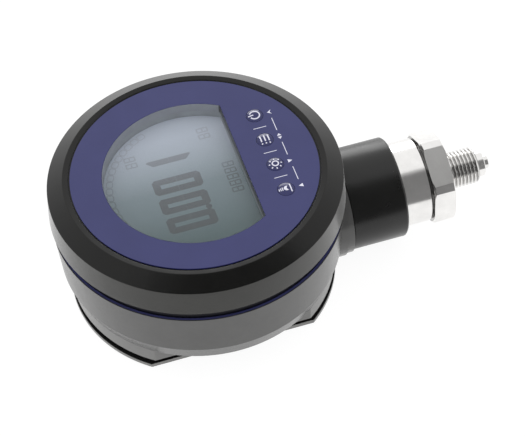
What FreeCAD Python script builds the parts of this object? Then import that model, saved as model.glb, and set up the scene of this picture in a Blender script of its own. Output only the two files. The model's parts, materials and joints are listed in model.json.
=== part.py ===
import FreeCAD, Part
import os
import re

import Sketcher

# Digital pressure gauge lying on its back, in millimetres, +Z up.
# The origin is the middle of the rear cover's flat face, on the axis of the round case.
# The display faces +Z, its top points to +Y, and the process connection points to -Y.

KEY_NAMES = ("light_key", "zero_key", "menu_key", "power_key")
CELL_COUNT = 3
HEX_SIDES = 6
SMALLEST_CUT = 1e-6
SAME_PLACE = 1e-4

# Driving dimensions. A word ending in _x, _y or _z is a place, the others are sizes.
SIZES = {
    # Levels of the case, each a height on top of the one before
    "cover_thickness": 3.3, "seam_gap": 0.8, "plinth_height": 7.4, "body_height": 24.0,
    "accent_height": 4.2, "bezel_wall_height": 10.1, "chamfer_drop": 3.4, "face_recess": 0.2,
    # Round case and its plinth
    "case_radius": 50.5, "bezel_flare": 0.5, "chamfer_run": 5.6, "lip_width": 1.9, "lip_fall": 0.3,
    "rim_step": 0.1, "body_draft": 1.3, "taper_run": 2.4, "taper_height": 6.5, "case_wall": 2.4,
    "floor_thickness": 3.5, "plinth_inset": 0.1, "plinth_side": 10.0, "plinth_draft": 0.2,
    "shadow_height": 1.6, "shadow_depth": 1.2,
    "cover_proud": 0.1, "cover_side": 0.9, "cover_edge": 1.8, "gasket_inset": 1.6, "gasket_width": 2.4,
    "accent_recess": 1.1, "skirt_depth": 3.6, "skirt_wall": 3.0, "fit_gap": 0.15,
    "seal_height": 1.0, "seal_width": 2.0,
    # Front: printed overlay, window, display and the board behind it
    "overlay_gap": 0.6, "overlay_thickness": 0.5, "web_thickness": 2.2, "window_radius": 31.5,
    "window_chord": 16.9, "window_gap": 0.1, "pane_flange": 1.5, "pane_flange_thickness": 0.8,
    "display_depth": 6.1, "glass_thickness": 1.8, "guide_thickness": 3.6, "frame_wall": 2.7,
    "strip_width": 2.4, "strip_inset": 6.6, "board_thickness": 1.6, "board_gap": 2.0,
    "post_radius": 2.6, "post_gap": 2.2, "peg_radius": 1.0, "peg_gap": 0.05, "peg_proud": 0.6,
    # Keys and their switches
    "key_pitch": 11.87, "key_drop": 9.95, "key_radius": 2.9, "key_crown": 0.55, "key_gap": 0.12,
    "key_flange": 0.9, "key_flange_thickness": 0.7, "key_lift": 0.15, "key_travel": 0.5,
    "switch_side": 4.5, "switch_height": 3.2, "actuator_radius": 1.2,
    # Electronics under the board
    "chip_side": 12.0, "chip_height": 1.4, "chip_y": 8.0,
    "socket_width": 7.0, "socket_height": 5.0, "socket_y": 25.0,
    # Battery bay
    "cell_radius": 7.2, "cell_length": 49.2, "nub_radius": 2.7, "nub_length": 1.3,
    "cell_spacing": 0.5, "cell_gap": 0.3, "bay_y": 6.0, "bay_wall": 2.0, "leaf_reach": 3.6,
    "leaf_fold": 0.75, "leaf_bend": 1.0, "contact_width": 10.0, "contact_thickness": 0.5,
    "cover_screw_x": 20.0, "cover_screw_rear": 5.35, "cover_screw_front": 13.35,
    "cover_screw_radius": 1.25, "cover_screw_grip": 6.0, "cover_screw_head": 2.5, "screw_gap": 0.15,
    # Swivel socket in the case
    "neck_lift": 0.6, "boss_margin": 0.7, "boss_step": 0.6, "boss_collar_length": 2.8, "boss_crop": 1.5,
    "boss_overhang": 0.2, "boss_depth": 7.0, "socket_length": 12.2, "socket_wall": 3.5, "socket_skin": 1.4,
    "journal_radius": 11.0, "journal_gap": 0.05, "clip_gap": 0.3, "clip_thickness": 1.0,
    "clip_groove_depth": 0.8, "clip_fit": 0.05, "clip_reach": 1.6, "clip_opening": 70.0, "clip_room": 0.5,
    "stem_seal_section": 1.7, "stem_seal_room": 0.3, "stem_seal_inset": 5.5, "stop_radius": 1.2,
    "stop_seat": 4.5, "stop_reach": 2.4, "stop_groove_depth": 3.0, "stop_room": 0.3,
    "swivel_half_turn": 165.0,
    # Neck and process connection
    "swivel_gap": 0.3, "neck_radius": 18.0, "neck_length": 20.0, "neck_edge": 0.7,
    "neck_cavity_radius": 12.5, "neck_cavity_depth": 14.0, "lead_radius": 5.0,
    "tail_length": 1.2, "shank_length": 9.0, "shank_gap": 0.05, "collar_radius": 15.1,
    "collar_length": 9.9, "collar_edge": 0.5, "groove_width": 0.6, "groove_depth": 2.4,
    "hex_across": 30.0, "hex_length": 7.8, "hex_turning": 0.8, "hex_edge": 0.5, "thread_radius": 6.5785,
    "thread_length": 12.5, "relief_length": 2.2, "relief_depth": 1.0, "thread_edge": 0.9,
    "step_radius": 4.75, "step_length": 2.7, "tip_radius": 2.5, "tip_length": 2.0, "tip_edge": 0.3,
    "channel_radius": 1.4, "sensor_radius": 9.0, "sensor_seat": 4.5, "sensor_gap": 0.1,
    "sensor_proud": 0.8, "sensor_board_gap": 1.0, "sensor_board_thickness": 1.2,
    "sensor_socket_radius": 3.0, "sensor_socket_height": 3.4,
}

# Places and sizes that follow from the driving dimensions
DERIVED = {
    "seam_z": "cover_thickness + seam_gap",
    "shoulder_z": "seam_z + plinth_height",
    "floor_z": "shoulder_z + floor_thickness",
    "rim_z": "shoulder_z + body_height",
    "bezel_z": "rim_z + accent_height",
    "edge_z": "bezel_z + bezel_wall_height",
    "lip_z": "edge_z + chamfer_drop",
    "face_z": "lip_z - face_recess",
    "web_top_z": "face_z - overlay_thickness",
    "web_z": "web_top_z - web_thickness",
    "glass_top_z": "face_z - display_depth",
    "glass_z": "glass_top_z - glass_thickness",
    "board_top_z": "glass_z - guide_thickness",
    "board_z": "board_top_z - board_thickness",
    "skirt_z": "rim_z - skirt_depth",
    "land_z": "skirt_z - seal_height",
    "lip_radius": "case_radius - chamfer_run",
    "recess_radius": "lip_radius - lip_width",
    "rim_radius": "case_radius - rim_step",
    "taper_radius": "rim_radius - body_draft",
    "base_radius": "taper_radius - taper_run",
    "land_radius": "rim_radius - case_wall",
    "inside_radius": "land_radius - fit_gap - seal_width",
    "skirt_radius": "land_radius - fit_gap",
    "skirt_inside": "skirt_radius - skirt_wall",
    "plinth_radius": "base_radius - plinth_inset",
    "plinth_half_width": "bay_half_length + plinth_side",
    "cover_radius": "plinth_radius + cover_proud",
    "cover_half_width": "plinth_half_width - cover_side",
    "post_offset": "(window_radius + frame_wall + post_gap + post_radius) / sqrt(2)",
    "strip_length": "2 * (sqrt(window_radius * window_radius - window_chord * window_chord) - strip_inset)",
    "key_row_y": "0 - window_chord - key_drop",
    "key_seat_z": "web_z - key_lift - key_flange_thickness",
    "actuator_top_z": "key_seat_z - key_travel - key_gap",
    "cell_pitch": "2 * cell_radius + cell_spacing",
    "cell_z": "cover_thickness + cell_gap + cell_radius",
    "bay_ceiling_z": "cell_z + cell_radius + cell_gap",
    "bay_half_length": "(cell_length + nub_length + leaf_reach + contact_thickness) / 2",
    "bay_half_width": f"{CELL_COUNT} * cell_pitch / 2 + cell_gap",
    "bay_rear_y": "bay_y + bay_half_width",
    "bay_front_y": "bay_y - bay_half_width",
    "stem_z": "max(neck_radius + neck_lift, seam_z + socket_skin + clip_pocket_radius)",
    "boss_collar_radius": "neck_radius + boss_margin",
    "boss_radius": "boss_collar_radius + boss_step",
    "boss_top_z": "min(rim_z, stem_z + boss_collar_radius - boss_crop)",
    "boss_face": "case_radius + boss_overhang",
    "boss_start": "boss_face - boss_depth",
    "socket_face": "boss_face - socket_length",
    "stop_circle": "(journal_radius + neck_radius) / 2",
    "stop_track": "stop_radius + stop_room",
    "clip_radius": "journal_radius + clip_reach",
    "clip_pocket_radius": "clip_radius + clip_room",
    "clip_end": "socket_face - clip_gap",
    "clip_start": "clip_end - clip_thickness",
    "tail_start": "clip_start - tail_length",
    "stem_seal_start": "boss_face - stem_seal_inset",
    "stem_seal_radius": "journal_radius - stem_seal_section",
    "neck_start": "boss_face + swivel_gap",
    "neck_end": "neck_start + neck_length",
    "shank_radius": "neck_cavity_radius - shank_gap",
    "collar_end": "neck_end + collar_length",
    "hex_start": "collar_end + groove_width",
    "hex_end": "hex_start + hex_length",
    "hex_corner": "hex_across / sqrt(3)",
    "hex_radius": "hex_corner - hex_turning",
    "thread_end": "hex_end + thread_length",
    "step_end": "thread_end + step_length",
    "tip_end": "step_end + tip_length",
    "shank_start": "neck_end - shank_length",
    "sensor_floor": "shank_start + sensor_seat",
    "sensor_start": "shank_start - sensor_proud",
    "sensor_board_start": "sensor_start - sensor_board_thickness",
    "sensor_socket_start": "sensor_board_start - sensor_socket_height",
}

doc = FreeCAD.newDocument("PressureGauge")
sheet = doc.addObject("Spreadsheet::Sheet", "Sizes")
for row, (alias, size) in enumerate(SIZES.items(), start=1):
    sheet.set(f"A{row}", alias)
    sheet.set(f"B{row}", str(size))
    sheet.setAlias(f"B{row}", alias)
doc.recompute()

pieces = []
ALONG_STEM = FreeCAD.Placement(FreeCAD.Vector(), FreeCAD.Rotation(FreeCAD.Vector(1, 0, 0), 90))


def bound(text):
    """Spell out derived names and point each alias at its cell of the sheet."""
    def spell(match):
        word = match.group(0)
        if word in DERIVED:
            return f"({bound(DERIVED[word])})"
        return f"Sizes.{word}" if word in SIZES else word
    return re.sub(r"[a-z][a-z0-9_]*", spell, text)


def value(text):
    """The number that an expression on the sheet comes to."""
    return float(sheet.evalExpression(bound(text)))


def new_body(label, along_stem=False):
    """An empty body, in the case's frame or with its own +Z along the process connection."""
    body = doc.addObject("PartDesign::Body", label)
    body.Label = label
    if along_stem:
        body.Placement = ALONG_STEM
        body.setExpression("Placement.Base.z", bound("stem_z"))
    pieces.append(body)
    return body


def new_sketch(body, name, plane="XY_Plane", level="0"):
    """A sketch on one of the body's own origin planes, moved along the plane's normal."""
    sketch = body.newObject("Sketcher::SketchObject", f"{body.Label}_{name}")
    origin_plane = next(item for item in body.Origin.OriginFeatures if item.Role == plane)
    sketch.AttachmentSupport = (origin_plane, [""])
    sketch.MapMode = "FlatFace"
    sketch.setExpression("AttachmentOffset.Base.z", bound(level))
    return sketch


def bind(sketch, constraint, text):
    """Add a dimension to a sketch and bind it to an expression."""
    index = sketch.addConstraint(constraint)
    sketch.setExpression(f"Constraints[{index}]", bound(text))


def pin(sketch, shape, end, x, y):
    """Hold one end of a sketch element at a place given by two expressions."""
    for kind, axis, text in (("DistanceX", -2, x), ("DistanceY", -1, y)):
        if text == "0":
            sketch.addConstraint(Sketcher.Constraint("PointOnObject", shape, end, axis))
        else:
            bind(sketch, Sketcher.Constraint(kind, -1, 1, shape, end, value(text)), text)


def polygon(sketch, points, arc_from=None):
    """A closed outline. The side that starts at arc_from is an arc centred on the upright axis."""
    corners = [FreeCAD.Vector(value(x), value(y), 0) for x, y in points]
    sides = []
    for index, (start, end) in enumerate(zip(corners, corners[1:] + corners[:1])):
        if index == arc_from:
            rise = end.y - start.y
            centre = FreeCAD.Vector(0, end.y - (start.x ** 2 + rise ** 2) / (2 * rise), 0)
            middle = FreeCAD.Vector(start.x / 2, 0, 0)
            middle.y = centre.y + ((end - centre).Length ** 2 - middle.x ** 2) ** 0.5
            side = sketch.addGeometry(Part.Arc(start, middle, end), False)
            sketch.addConstraint(Sketcher.Constraint("PointOnObject", side, 3, -2))
        else:
            side = sketch.addGeometry(Part.LineSegment(start, end), False)
        sides.append(side)
    for side, after in zip(sides, sides[1:] + sides[:1]):
        sketch.addConstraint(Sketcher.Constraint("Coincident", side, 2, after, 1))
    for side, (x, y) in zip(sides, points):
        pin(sketch, side, 1, x, y)


def rectangle(sketch, left, right, low, high):
    """An upright rectangle between four expressions."""
    polygon(sketch, [(left, low), (right, low), (right, high), (left, high)])


def circle(sketch, radius, x="0", y="0"):
    """A circle about a place given by two expressions."""
    centre = FreeCAD.Vector(value(x), value(y), 0)
    shape = sketch.addGeometry(Part.Circle(centre, FreeCAD.Vector(0, 0, 1), value(radius)), False)
    pin(sketch, shape, 3, x, y)
    bind(sketch, Sketcher.Constraint("Radius", shape, value(radius)), radius)


def window_outline(sketch, radius, chord):
    """A disc cut off straight below its middle, as the display window is."""
    size, drop = value(radius), value(chord)
    half = (size ** 2 - drop ** 2) ** 0.5
    left, right = FreeCAD.Vector(-half, -drop, 0), FreeCAD.Vector(half, -drop, 0)
    line = sketch.addGeometry(Part.LineSegment(left, right), False)
    arc = sketch.addGeometry(Part.Arc(right, FreeCAD.Vector(0, size, 0), left), False)
    sketch.addConstraint(Sketcher.Constraint("Coincident", line, 2, arc, 1))
    sketch.addConstraint(Sketcher.Constraint("Coincident", arc, 2, line, 1))
    sketch.addConstraint(Sketcher.Constraint("Coincident", arc, 3, -1, 1))
    sketch.addConstraint(Sketcher.Constraint("Horizontal", line))
    bind(sketch, Sketcher.Constraint("Radius", arc, size), radius)
    bind(sketch, Sketcher.Constraint("DistanceY", line, 1, -1, 1, drop), chord)


def flatted_disc(sketch, radius, low, high, upright, centre_y="0"):
    """A disc cut by two parallel chords, upright ones for the plinth and level ones for the boss."""
    size, start, end, middle = value(radius), value(low), value(high), value(centre_y)

    def place(along, side):
        across = (size ** 2 - (along if upright else along - middle) ** 2) ** 0.5 * side
        return FreeCAD.Vector(along, middle + across, 0) if upright else FreeCAD.Vector(across, along, 0)

    turn = 1 if upright else -1
    corners = [place(end, -turn), place(end, turn), place(start, turn), place(start, -turn)]
    poles = [FreeCAD.Vector(0, middle + size, 0), FreeCAD.Vector(0, middle - size, 0)]
    if not upright:
        poles = [FreeCAD.Vector(-size, middle, 0), FreeCAD.Vector(size, middle, 0)]
    sides = [
        sketch.addGeometry(Part.LineSegment(corners[0], corners[1]), False),
        sketch.addGeometry(Part.Arc(corners[1], poles[0], corners[2]), False),
        sketch.addGeometry(Part.LineSegment(corners[2], corners[3]), False),
        sketch.addGeometry(Part.Arc(corners[3], poles[1], corners[0]), False),
    ]
    for side, after in zip(sides, sides[1:] + sides[:1]):
        sketch.addConstraint(Sketcher.Constraint("Coincident", side, 2, after, 1))
    for arc in (sides[1], sides[3]):
        pin(sketch, arc, 3, "0", centre_y)
        bind(sketch, Sketcher.Constraint("Radius", arc, size), radius)
    way = "Vertical" if upright else "Horizontal"
    distance = "DistanceX" if upright else "DistanceY"
    for line, place_value, text in ((sides[0], end, high), (sides[2], start, low)):
        sketch.addConstraint(Sketcher.Constraint(way, line))
        bind(sketch, Sketcher.Constraint(distance, -1, 1, line, 1, place_value), text)


def pad(body, sketch, length, down=False, inset=None):
    """Raise a sketch into a solid. An inset narrows it evenly towards its far end."""
    feature = body.newObject("PartDesign::Pad", f"{sketch.Name}_pad")
    feature.Profile = sketch
    feature.setExpression("Length", bound(length))
    feature.Reversed = down
    if inset:
        feature.setExpression("TaperAngle", bound(f"-atan(({inset}) / ({length}))"))
    doc.recompute()
    return feature


def revolve(body, sketch):
    """Turn a half section about the sketch's upright axis."""
    feature = body.newObject("PartDesign::Revolution", f"{sketch.Name}_turned")
    feature.Profile = sketch
    feature.ReferenceAxis = (sketch, ["V_Axis"])
    feature.Angle = 360
    doc.recompute()
    return feature


def cut(body, sketch, depth=None, up=False, angle="360", middle=False):
    """Cut a sketch out of the body, to a depth or turned about its upright axis."""
    before = body.Shape.Volume
    kind = "PartDesign::Pocket" if depth else "PartDesign::Groove"
    feature = body.newObject(kind, f"{sketch.Name}_cut")
    feature.Profile = sketch
    if depth:
        feature.setExpression("Length", bound(depth))
        feature.Reversed = up
    else:
        feature.ReferenceAxis = (sketch, ["V_Axis"])
        feature.setExpression("Angle", bound(angle))
        feature.Midplane = middle
    doc.recompute()
    if body.Shape.Volume > before - SMALLEST_CUT:
        raise ValueError(f"{feature.Name} cuts nothing")
    return feature


def flush_edges(feature, level, largest=None):
    """Names of the feature's edges that lie flat at one level, all of them or only the small round ones."""
    height = value(level)
    names = []
    for number, edge in enumerate(feature.Shape.Edges, start=1):
        box = edge.BoundBox
        level_edge = abs(box.ZMin - height) < SAME_PLACE and abs(box.ZMax - height) < SAME_PLACE
        if level_edge and (largest is None or max(box.XLength, box.YLength) < 2 * value(largest)):
            names.append(f"Edge{number}")
    return names


def chamfer(body, feature, names, size):
    """Bevel some edges of a feature."""
    if not names:
        raise ValueError(f"{feature.Name} has no such edge")
    edge = body.newObject("PartDesign::Chamfer", f"{feature.Name}_edge")
    edge.Base = (feature, names)
    edge.setExpression("Size", bound(size))
    doc.recompute()
    return edge


def turned_piece(label, points, along_stem=False, arc_from=None):
    """A piece turned from one half section of radius and height."""
    body = new_body(label, along_stem)
    sketch = new_sketch(body, "section", "XZ_Plane")
    polygon(sketch, points, arc_from)
    revolve(body, sketch)
    return body


def plain_ring(label, inner, outer, low, high, along_stem=False):
    """A ring of rectangular section."""
    return turned_piece(label, [(inner, low), (outer, low), (outer, high), (inner, high)], along_stem)


def place(piece, x, y, z):
    """Put a piece at three expressions."""
    for axis, text in zip("xyz", (x, y, z)):
        piece.setExpression(f"Placement.Base.{axis}", bound(text))


def primitive(kind, name, sizes):
    """A plain solid whose sizes are expressions."""
    solid = doc.addObject(f"Part::{kind}", name)
    solid.Label = name
    for size, text in sizes.items():
        solid.setExpression(size, bound(text))
    return solid


def block(name, width, depth, height, x, y, z):
    """A box centred on x and y, standing on z."""
    box = primitive("Box", name, {"Length": width, "Width": depth, "Height": height})
    place(box, f"{x} - ({width}) / 2", f"{y} - ({depth}) / 2", z)
    return box


def rod(name, radius, low, high, x="0"):
    """A cylinder between two distances along the process connection."""
    cylinder = primitive("Cylinder", name, {"Radius": radius, "Height": f"{high} - ({low})"})
    cylinder.Placement = ALONG_STEM
    place(cylinder, x, f"0 - ({low})", "stem_z")
    return cylinder


def fuse(name, base, tool):
    """Two solids joined into one."""
    joined = doc.addObject("Part::Fuse", name)
    joined.Label = name
    joined.Base, joined.Tool = base, tool
    return joined


def group(label, members):
    """Separate like solids in one node."""
    compound = doc.addObject("Part::Compound", label)
    compound.Label = label
    compound.Links = members
    pieces.append(compound)


def cover_screw_places():
    """The cover screws' places, as pairs of expressions."""
    return [(f"{side} * cover_screw_x", y) for side in (-1, 1)
            for y in ("bay_rear_y + cover_screw_rear", "bay_front_y - cover_screw_front")]


def post_places():
    """The board posts' places, as pairs of expressions."""
    return [(f"{x} * post_offset", f"{y} * post_offset") for x in (-1, 1) for y in (-1, 1)]


def peg_places():
    """The two opposite posts that end in a peg through the board."""
    return [post_places()[0], post_places()[-1]]


def key_x(index):
    """A key's distance to the right of the case's axis."""
    return f"{index - (len(KEY_NAMES) - 1) / 2} * key_pitch"


def cell_y(index):
    """A battery cell's distance above the case's axis."""
    return f"bay_y + {index - (CELL_COUNT - 1) / 2} * cell_pitch"


def make_rear_case():
    """Moulded cup with the plinth, the battery bay and the swivel socket in one piece."""
    body = new_body("rear_case")
    section = new_sketch(body, "cup", "XZ_Plane")
    polygon(section, [
        ("0", "shoulder_z"), ("base_radius", "shoulder_z"),
        ("taper_radius", "shoulder_z + taper_height"), ("rim_radius", "rim_z"),
        ("inside_radius", "rim_z"), ("inside_radius", "floor_z"), ("0", "floor_z"),
    ])
    revolve(body, section)
    plinth = new_sketch(body, "plinth", level="shoulder_z")
    flatted_disc(plinth, "plinth_radius", "0 - plinth_half_width", "plinth_half_width", upright=True)
    pad(body, plinth, "plinth_height - shadow_height", down=True, inset="plinth_draft")
    # Foot set back, so that a shadow gap shows over the cover
    foot = new_sketch(body, "foot", level="seam_z + shadow_height")
    setback = "(plinth_draft + shadow_depth)"
    flatted_disc(foot, f"plinth_radius - {setback}", f"{setback} - plinth_half_width",
                 f"plinth_half_width - {setback}", upright=True)
    pad(body, foot, "shadow_height", down=True)
    bay_block = new_sketch(body, "bay_block", level="shoulder_z")
    rectangle(bay_block, "0 - bay_half_length - bay_wall", "bay_half_length + bay_wall",
              "bay_front_y - bay_wall", "bay_rear_y + bay_wall")
    pad(body, bay_block, "bay_ceiling_z + bay_wall - shoulder_z")
    for name, radius, end in (("boss", "boss_radius", "boss_face - boss_collar_length"),
                              ("collar", "boss_collar_radius", "boss_face")):
        boss = new_sketch(body, name, "XZ_Plane", "boss_start")
        flatted_disc(boss, radius, "seam_z", "boss_top_z", upright=False, centre_y="stem_z")
        pad(body, boss, f"{end} - boss_start")
    rim_pocket = new_sketch(body, "rim_pocket", level="rim_z")
    circle(rim_pocket, "land_radius")
    cut(body, rim_pocket, "rim_z - land_z")
    tube = new_sketch(body, "socket_tube", "XZ_Plane", "socket_face")
    circle(tube, "journal_radius + socket_wall", y="stem_z")
    pad(body, tube, "boss_start - socket_face")
    bore = new_sketch(body, "socket_bore", "XZ_Plane", "boss_face")
    circle(bore, "journal_radius + journal_gap", y="stem_z")
    cut(body, bore, "socket_length")
    clip_pocket = new_sketch(body, "clip_pocket", "XZ_Plane", "socket_face")
    circle(clip_pocket, "clip_pocket_radius", y="stem_z")
    cut(body, clip_pocket, "socket_face - tail_start + clip_room")
    stop_seat = new_sketch(body, "stop_seat", "XZ_Plane", "boss_face")
    circle(stop_seat, "stop_radius", "stop_circle", "stem_z")
    cut(body, stop_seat, "stop_seat")
    bay = new_sketch(body, "bay", level="seam_z")
    rectangle(bay, "0 - bay_half_length", "bay_half_length", "bay_front_y", "bay_rear_y")
    cut(body, bay, "bay_ceiling_z - seam_z", up=True)
    pilots = new_sketch(body, "pilots", level="seam_z")
    for x, y in cover_screw_places():
        circle(pilots, "cover_screw_radius", x, y)
    cut(body, pilots, "cover_screw_grip + screw_gap", up=True)


def make_cover():
    """Battery cover with its seal and countersunk screws."""
    body = new_body("battery_cover")
    outline = new_sketch(body, "outline")
    flatted_disc(outline, "cover_radius", "0 - cover_half_width", "cover_half_width", upright=True)
    plate = pad(body, outline, "cover_thickness")
    chamfer(body, plate, flush_edges(plate, "0"), "cover_edge")
    holes = new_sketch(body, "holes")
    for x, y in cover_screw_places():
        circle(holes, "cover_screw_radius + screw_gap", x, y)
    drilled = cut(body, holes, "cover_thickness", up=True)
    sink = "cover_screw_head - cover_screw_radius"
    chamfer(body, drilled, flush_edges(drilled, "0", largest="cover_screw_head"), sink)
    gasket = new_body("cover_gasket")
    band = new_sketch(gasket, "band", level="cover_thickness")
    for inset in ("gasket_inset", "gasket_inset + gasket_width"):
        flatted_disc(band, f"cover_radius - ({inset})", f"0 - (cover_half_width - ({inset}))",
                     f"cover_half_width - ({inset})", upright=True)
    pad(gasket, band, "seam_gap")
    screws = []
    for number, (x, y) in enumerate(cover_screw_places(), start=1):
        head = primitive("Cone", f"cover_screw_{number}_head", {
            "Radius1": "cover_screw_head", "Radius2": "cover_screw_radius", "Height": sink})
        place(head, x, y, "0")
        shank = primitive("Cylinder", f"cover_screw_{number}_shank", {
            "Radius": "cover_screw_radius",
            "Height": f"cover_thickness + seam_gap + cover_screw_grip - ({sink})"})
        place(shank, x, y, sink)
        screws.append(fuse(f"cover_screw_{number}", head, shank))
    group("cover_screws", screws)


def make_cells():
    """Cells side by side, each with a bent leaf at its flat end and a plate at its nub."""
    for index in range(CELL_COUNT):
        way = 1 if index % 2 == 0 else -1
        number = index + 1
        cell = turned_piece(f"battery_cell_{number}", [
            ("0", "leaf_reach"), ("cell_radius", "leaf_reach"), ("cell_radius", "leaf_reach + cell_length"),
            ("nub_radius", "leaf_reach + cell_length"),
            ("nub_radius", "leaf_reach + cell_length + nub_length"),
            ("0", "leaf_reach + cell_length + nub_length")])
        leaf = new_body(f"contact_leaf_{number}")
        fold = new_sketch(leaf, "fold", "XZ_Plane", "0 - contact_width / 2")
        reach = "contact_width / 2"
        polygon(fold, [
            (f"0 - {reach}", "0"), (reach, "0"), (reach, "leaf_fold"),
            ("0", "leaf_reach"), ("0 - contact_thickness", "leaf_reach"),
            (f"{reach} - leaf_bend", "contact_thickness"), (f"0 - {reach}", "contact_thickness")])
        pad(leaf, fold, "contact_width")
        for piece in (cell, leaf):
            piece.Placement.Rotation = FreeCAD.Rotation(FreeCAD.Vector(0, 1, 0), 90 * way)
            place(piece, f"{-way} * bay_half_length", cell_y(index), "cell_z")
        pieces.append(block(f"contact_plate_{number}", "contact_thickness", "contact_width", "contact_width",
                            f"{way} * (bay_half_length - contact_thickness / 2)", cell_y(index),
                            "cell_z - contact_width / 2"))


def make_front():
    """Bezel with its web and posts, the coloured ring, the seal, the overlay and the window pane."""
    bezel = turned_piece("front_bezel", [
        ("0", "web_top_z"), ("recess_radius", "web_top_z"), ("recess_radius", "lip_z - lip_fall"),
        ("lip_radius", "lip_z"), ("case_radius", "edge_z"), ("case_radius + bezel_flare", "bezel_z"),
        ("skirt_radius", "bezel_z"), ("skirt_radius", "skirt_z"), ("skirt_inside", "skirt_z"),
        ("skirt_inside", "web_z"), ("0", "web_z")])
    posts = new_sketch(bezel, "posts", level="web_z")
    for x, y in post_places():
        circle(posts, "post_radius", x, y)
    pad(bezel, posts, "web_z - board_top_z", down=True)
    pegs = new_sketch(bezel, "pegs", level="board_top_z")
    for x, y in peg_places():
        circle(pegs, "peg_radius", x, y)
    pad(bezel, pegs, "board_thickness + peg_proud", down=True)
    overlay = new_body("front_overlay")
    foil = new_sketch(overlay, "foil", level="web_top_z")
    circle(foil, "recess_radius - overlay_gap")
    pad(overlay, foil, "overlay_thickness")
    for body in (bezel, overlay):
        window = new_sketch(body, "window", level="face_z")
        window_outline(window, "window_radius", "window_chord")
        cut(body, window, "face_z - web_z")
        keys = new_sketch(body, "keys", level="face_z")
        for index in range(len(KEY_NAMES)):
            circle(keys, "key_radius + key_gap", key_x(index), "key_row_y")
        cut(body, keys, "face_z - web_z")
    plain_ring("accent_ring", "land_radius", "rim_radius - accent_recess", "rim_z", "bezel_z")
    plain_ring("case_seal", "inside_radius", "skirt_radius", "land_z", "skirt_z")
    pane = new_body("display_pane")
    clear = new_sketch(pane, "clear", level="web_z")
    window_outline(clear, "window_radius - window_gap", "window_chord - window_gap")
    pad(pane, clear, "face_z - web_z")
    flange = new_sketch(pane, "flange", level="web_z")
    window_outline(flange, "window_radius + pane_flange", "window_chord + pane_flange")
    pad(pane, flange, "pane_flange_thickness", down=True)


def make_display():
    """Display glass on its light guide, the frame round them and the contact strip."""
    frame = new_body("display_frame")
    wall = new_sketch(frame, "wall", level="board_top_z")
    window_outline(wall, "window_radius + frame_wall", "window_chord + frame_wall")
    window_outline(wall, "window_radius + window_gap", "window_chord + window_gap")
    pad(frame, wall, "web_z - pane_flange_thickness - board_top_z")
    strip_edge = "window_chord - strip_width - window_gap * 2"
    for label, chord, low, high in (
            ("display_glass", "window_chord", "glass_z", "glass_top_z"),
            ("light_guide", strip_edge, "board_top_z", "glass_z")):
        body = new_body(label)
        outline = new_sketch(body, "outline", level=low)
        window_outline(outline, "window_radius", chord)
        pad(body, outline, f"{high} - {low}")
    pieces.append(block("contact_strip", "strip_length", "strip_width", "guide_thickness",
                        "0", f"0 - ({strip_edge} + window_gap + strip_width / 2)", "board_top_z"))


def make_board():
    """Main board with its switches, chip and sensor socket."""
    board = new_body("main_board")
    outline = new_sketch(board, "outline", level="board_z")
    circle(outline, "skirt_inside - board_gap")
    for x, y in peg_places():
        circle(outline, "peg_radius + peg_gap", x, y)
    pad(board, outline, "board_thickness")
    for index, key in enumerate(KEY_NAMES):
        label = key.replace("key", "switch")
        case = block(f"{label}_case", "switch_side", "switch_side", "switch_height",
                     key_x(index), "key_row_y", "board_top_z")
        actuator = primitive("Cylinder", f"{label}_actuator", {
            "Radius": "actuator_radius", "Height": "actuator_top_z - board_top_z"})
        place(actuator, key_x(index), "key_row_y", "board_top_z")
        pieces.append(fuse(label, case, actuator))
    pieces.append(block("processor_chip", "chip_side", "chip_side", "chip_height",
                        "0", "chip_y", "board_z - chip_height"))
    pieces.append(block("main_socket", "socket_width", "socket_width", "socket_height",
                        "0", "0 - socket_y", "board_z - socket_height"))


def make_keys():
    """Four domed keys, each held under the web by its flange."""
    for index, label in enumerate(KEY_NAMES):
        body = turned_piece(label, [
            ("0", "key_seat_z"), ("key_radius + key_flange", "key_seat_z"),
            ("key_radius + key_flange", "web_z - key_lift"), ("key_radius", "web_z - key_lift"),
            ("key_radius", "face_z"), ("0", "face_z + key_crown")], arc_from=4)
        place(body, key_x(index), "key_row_y", "0")


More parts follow.
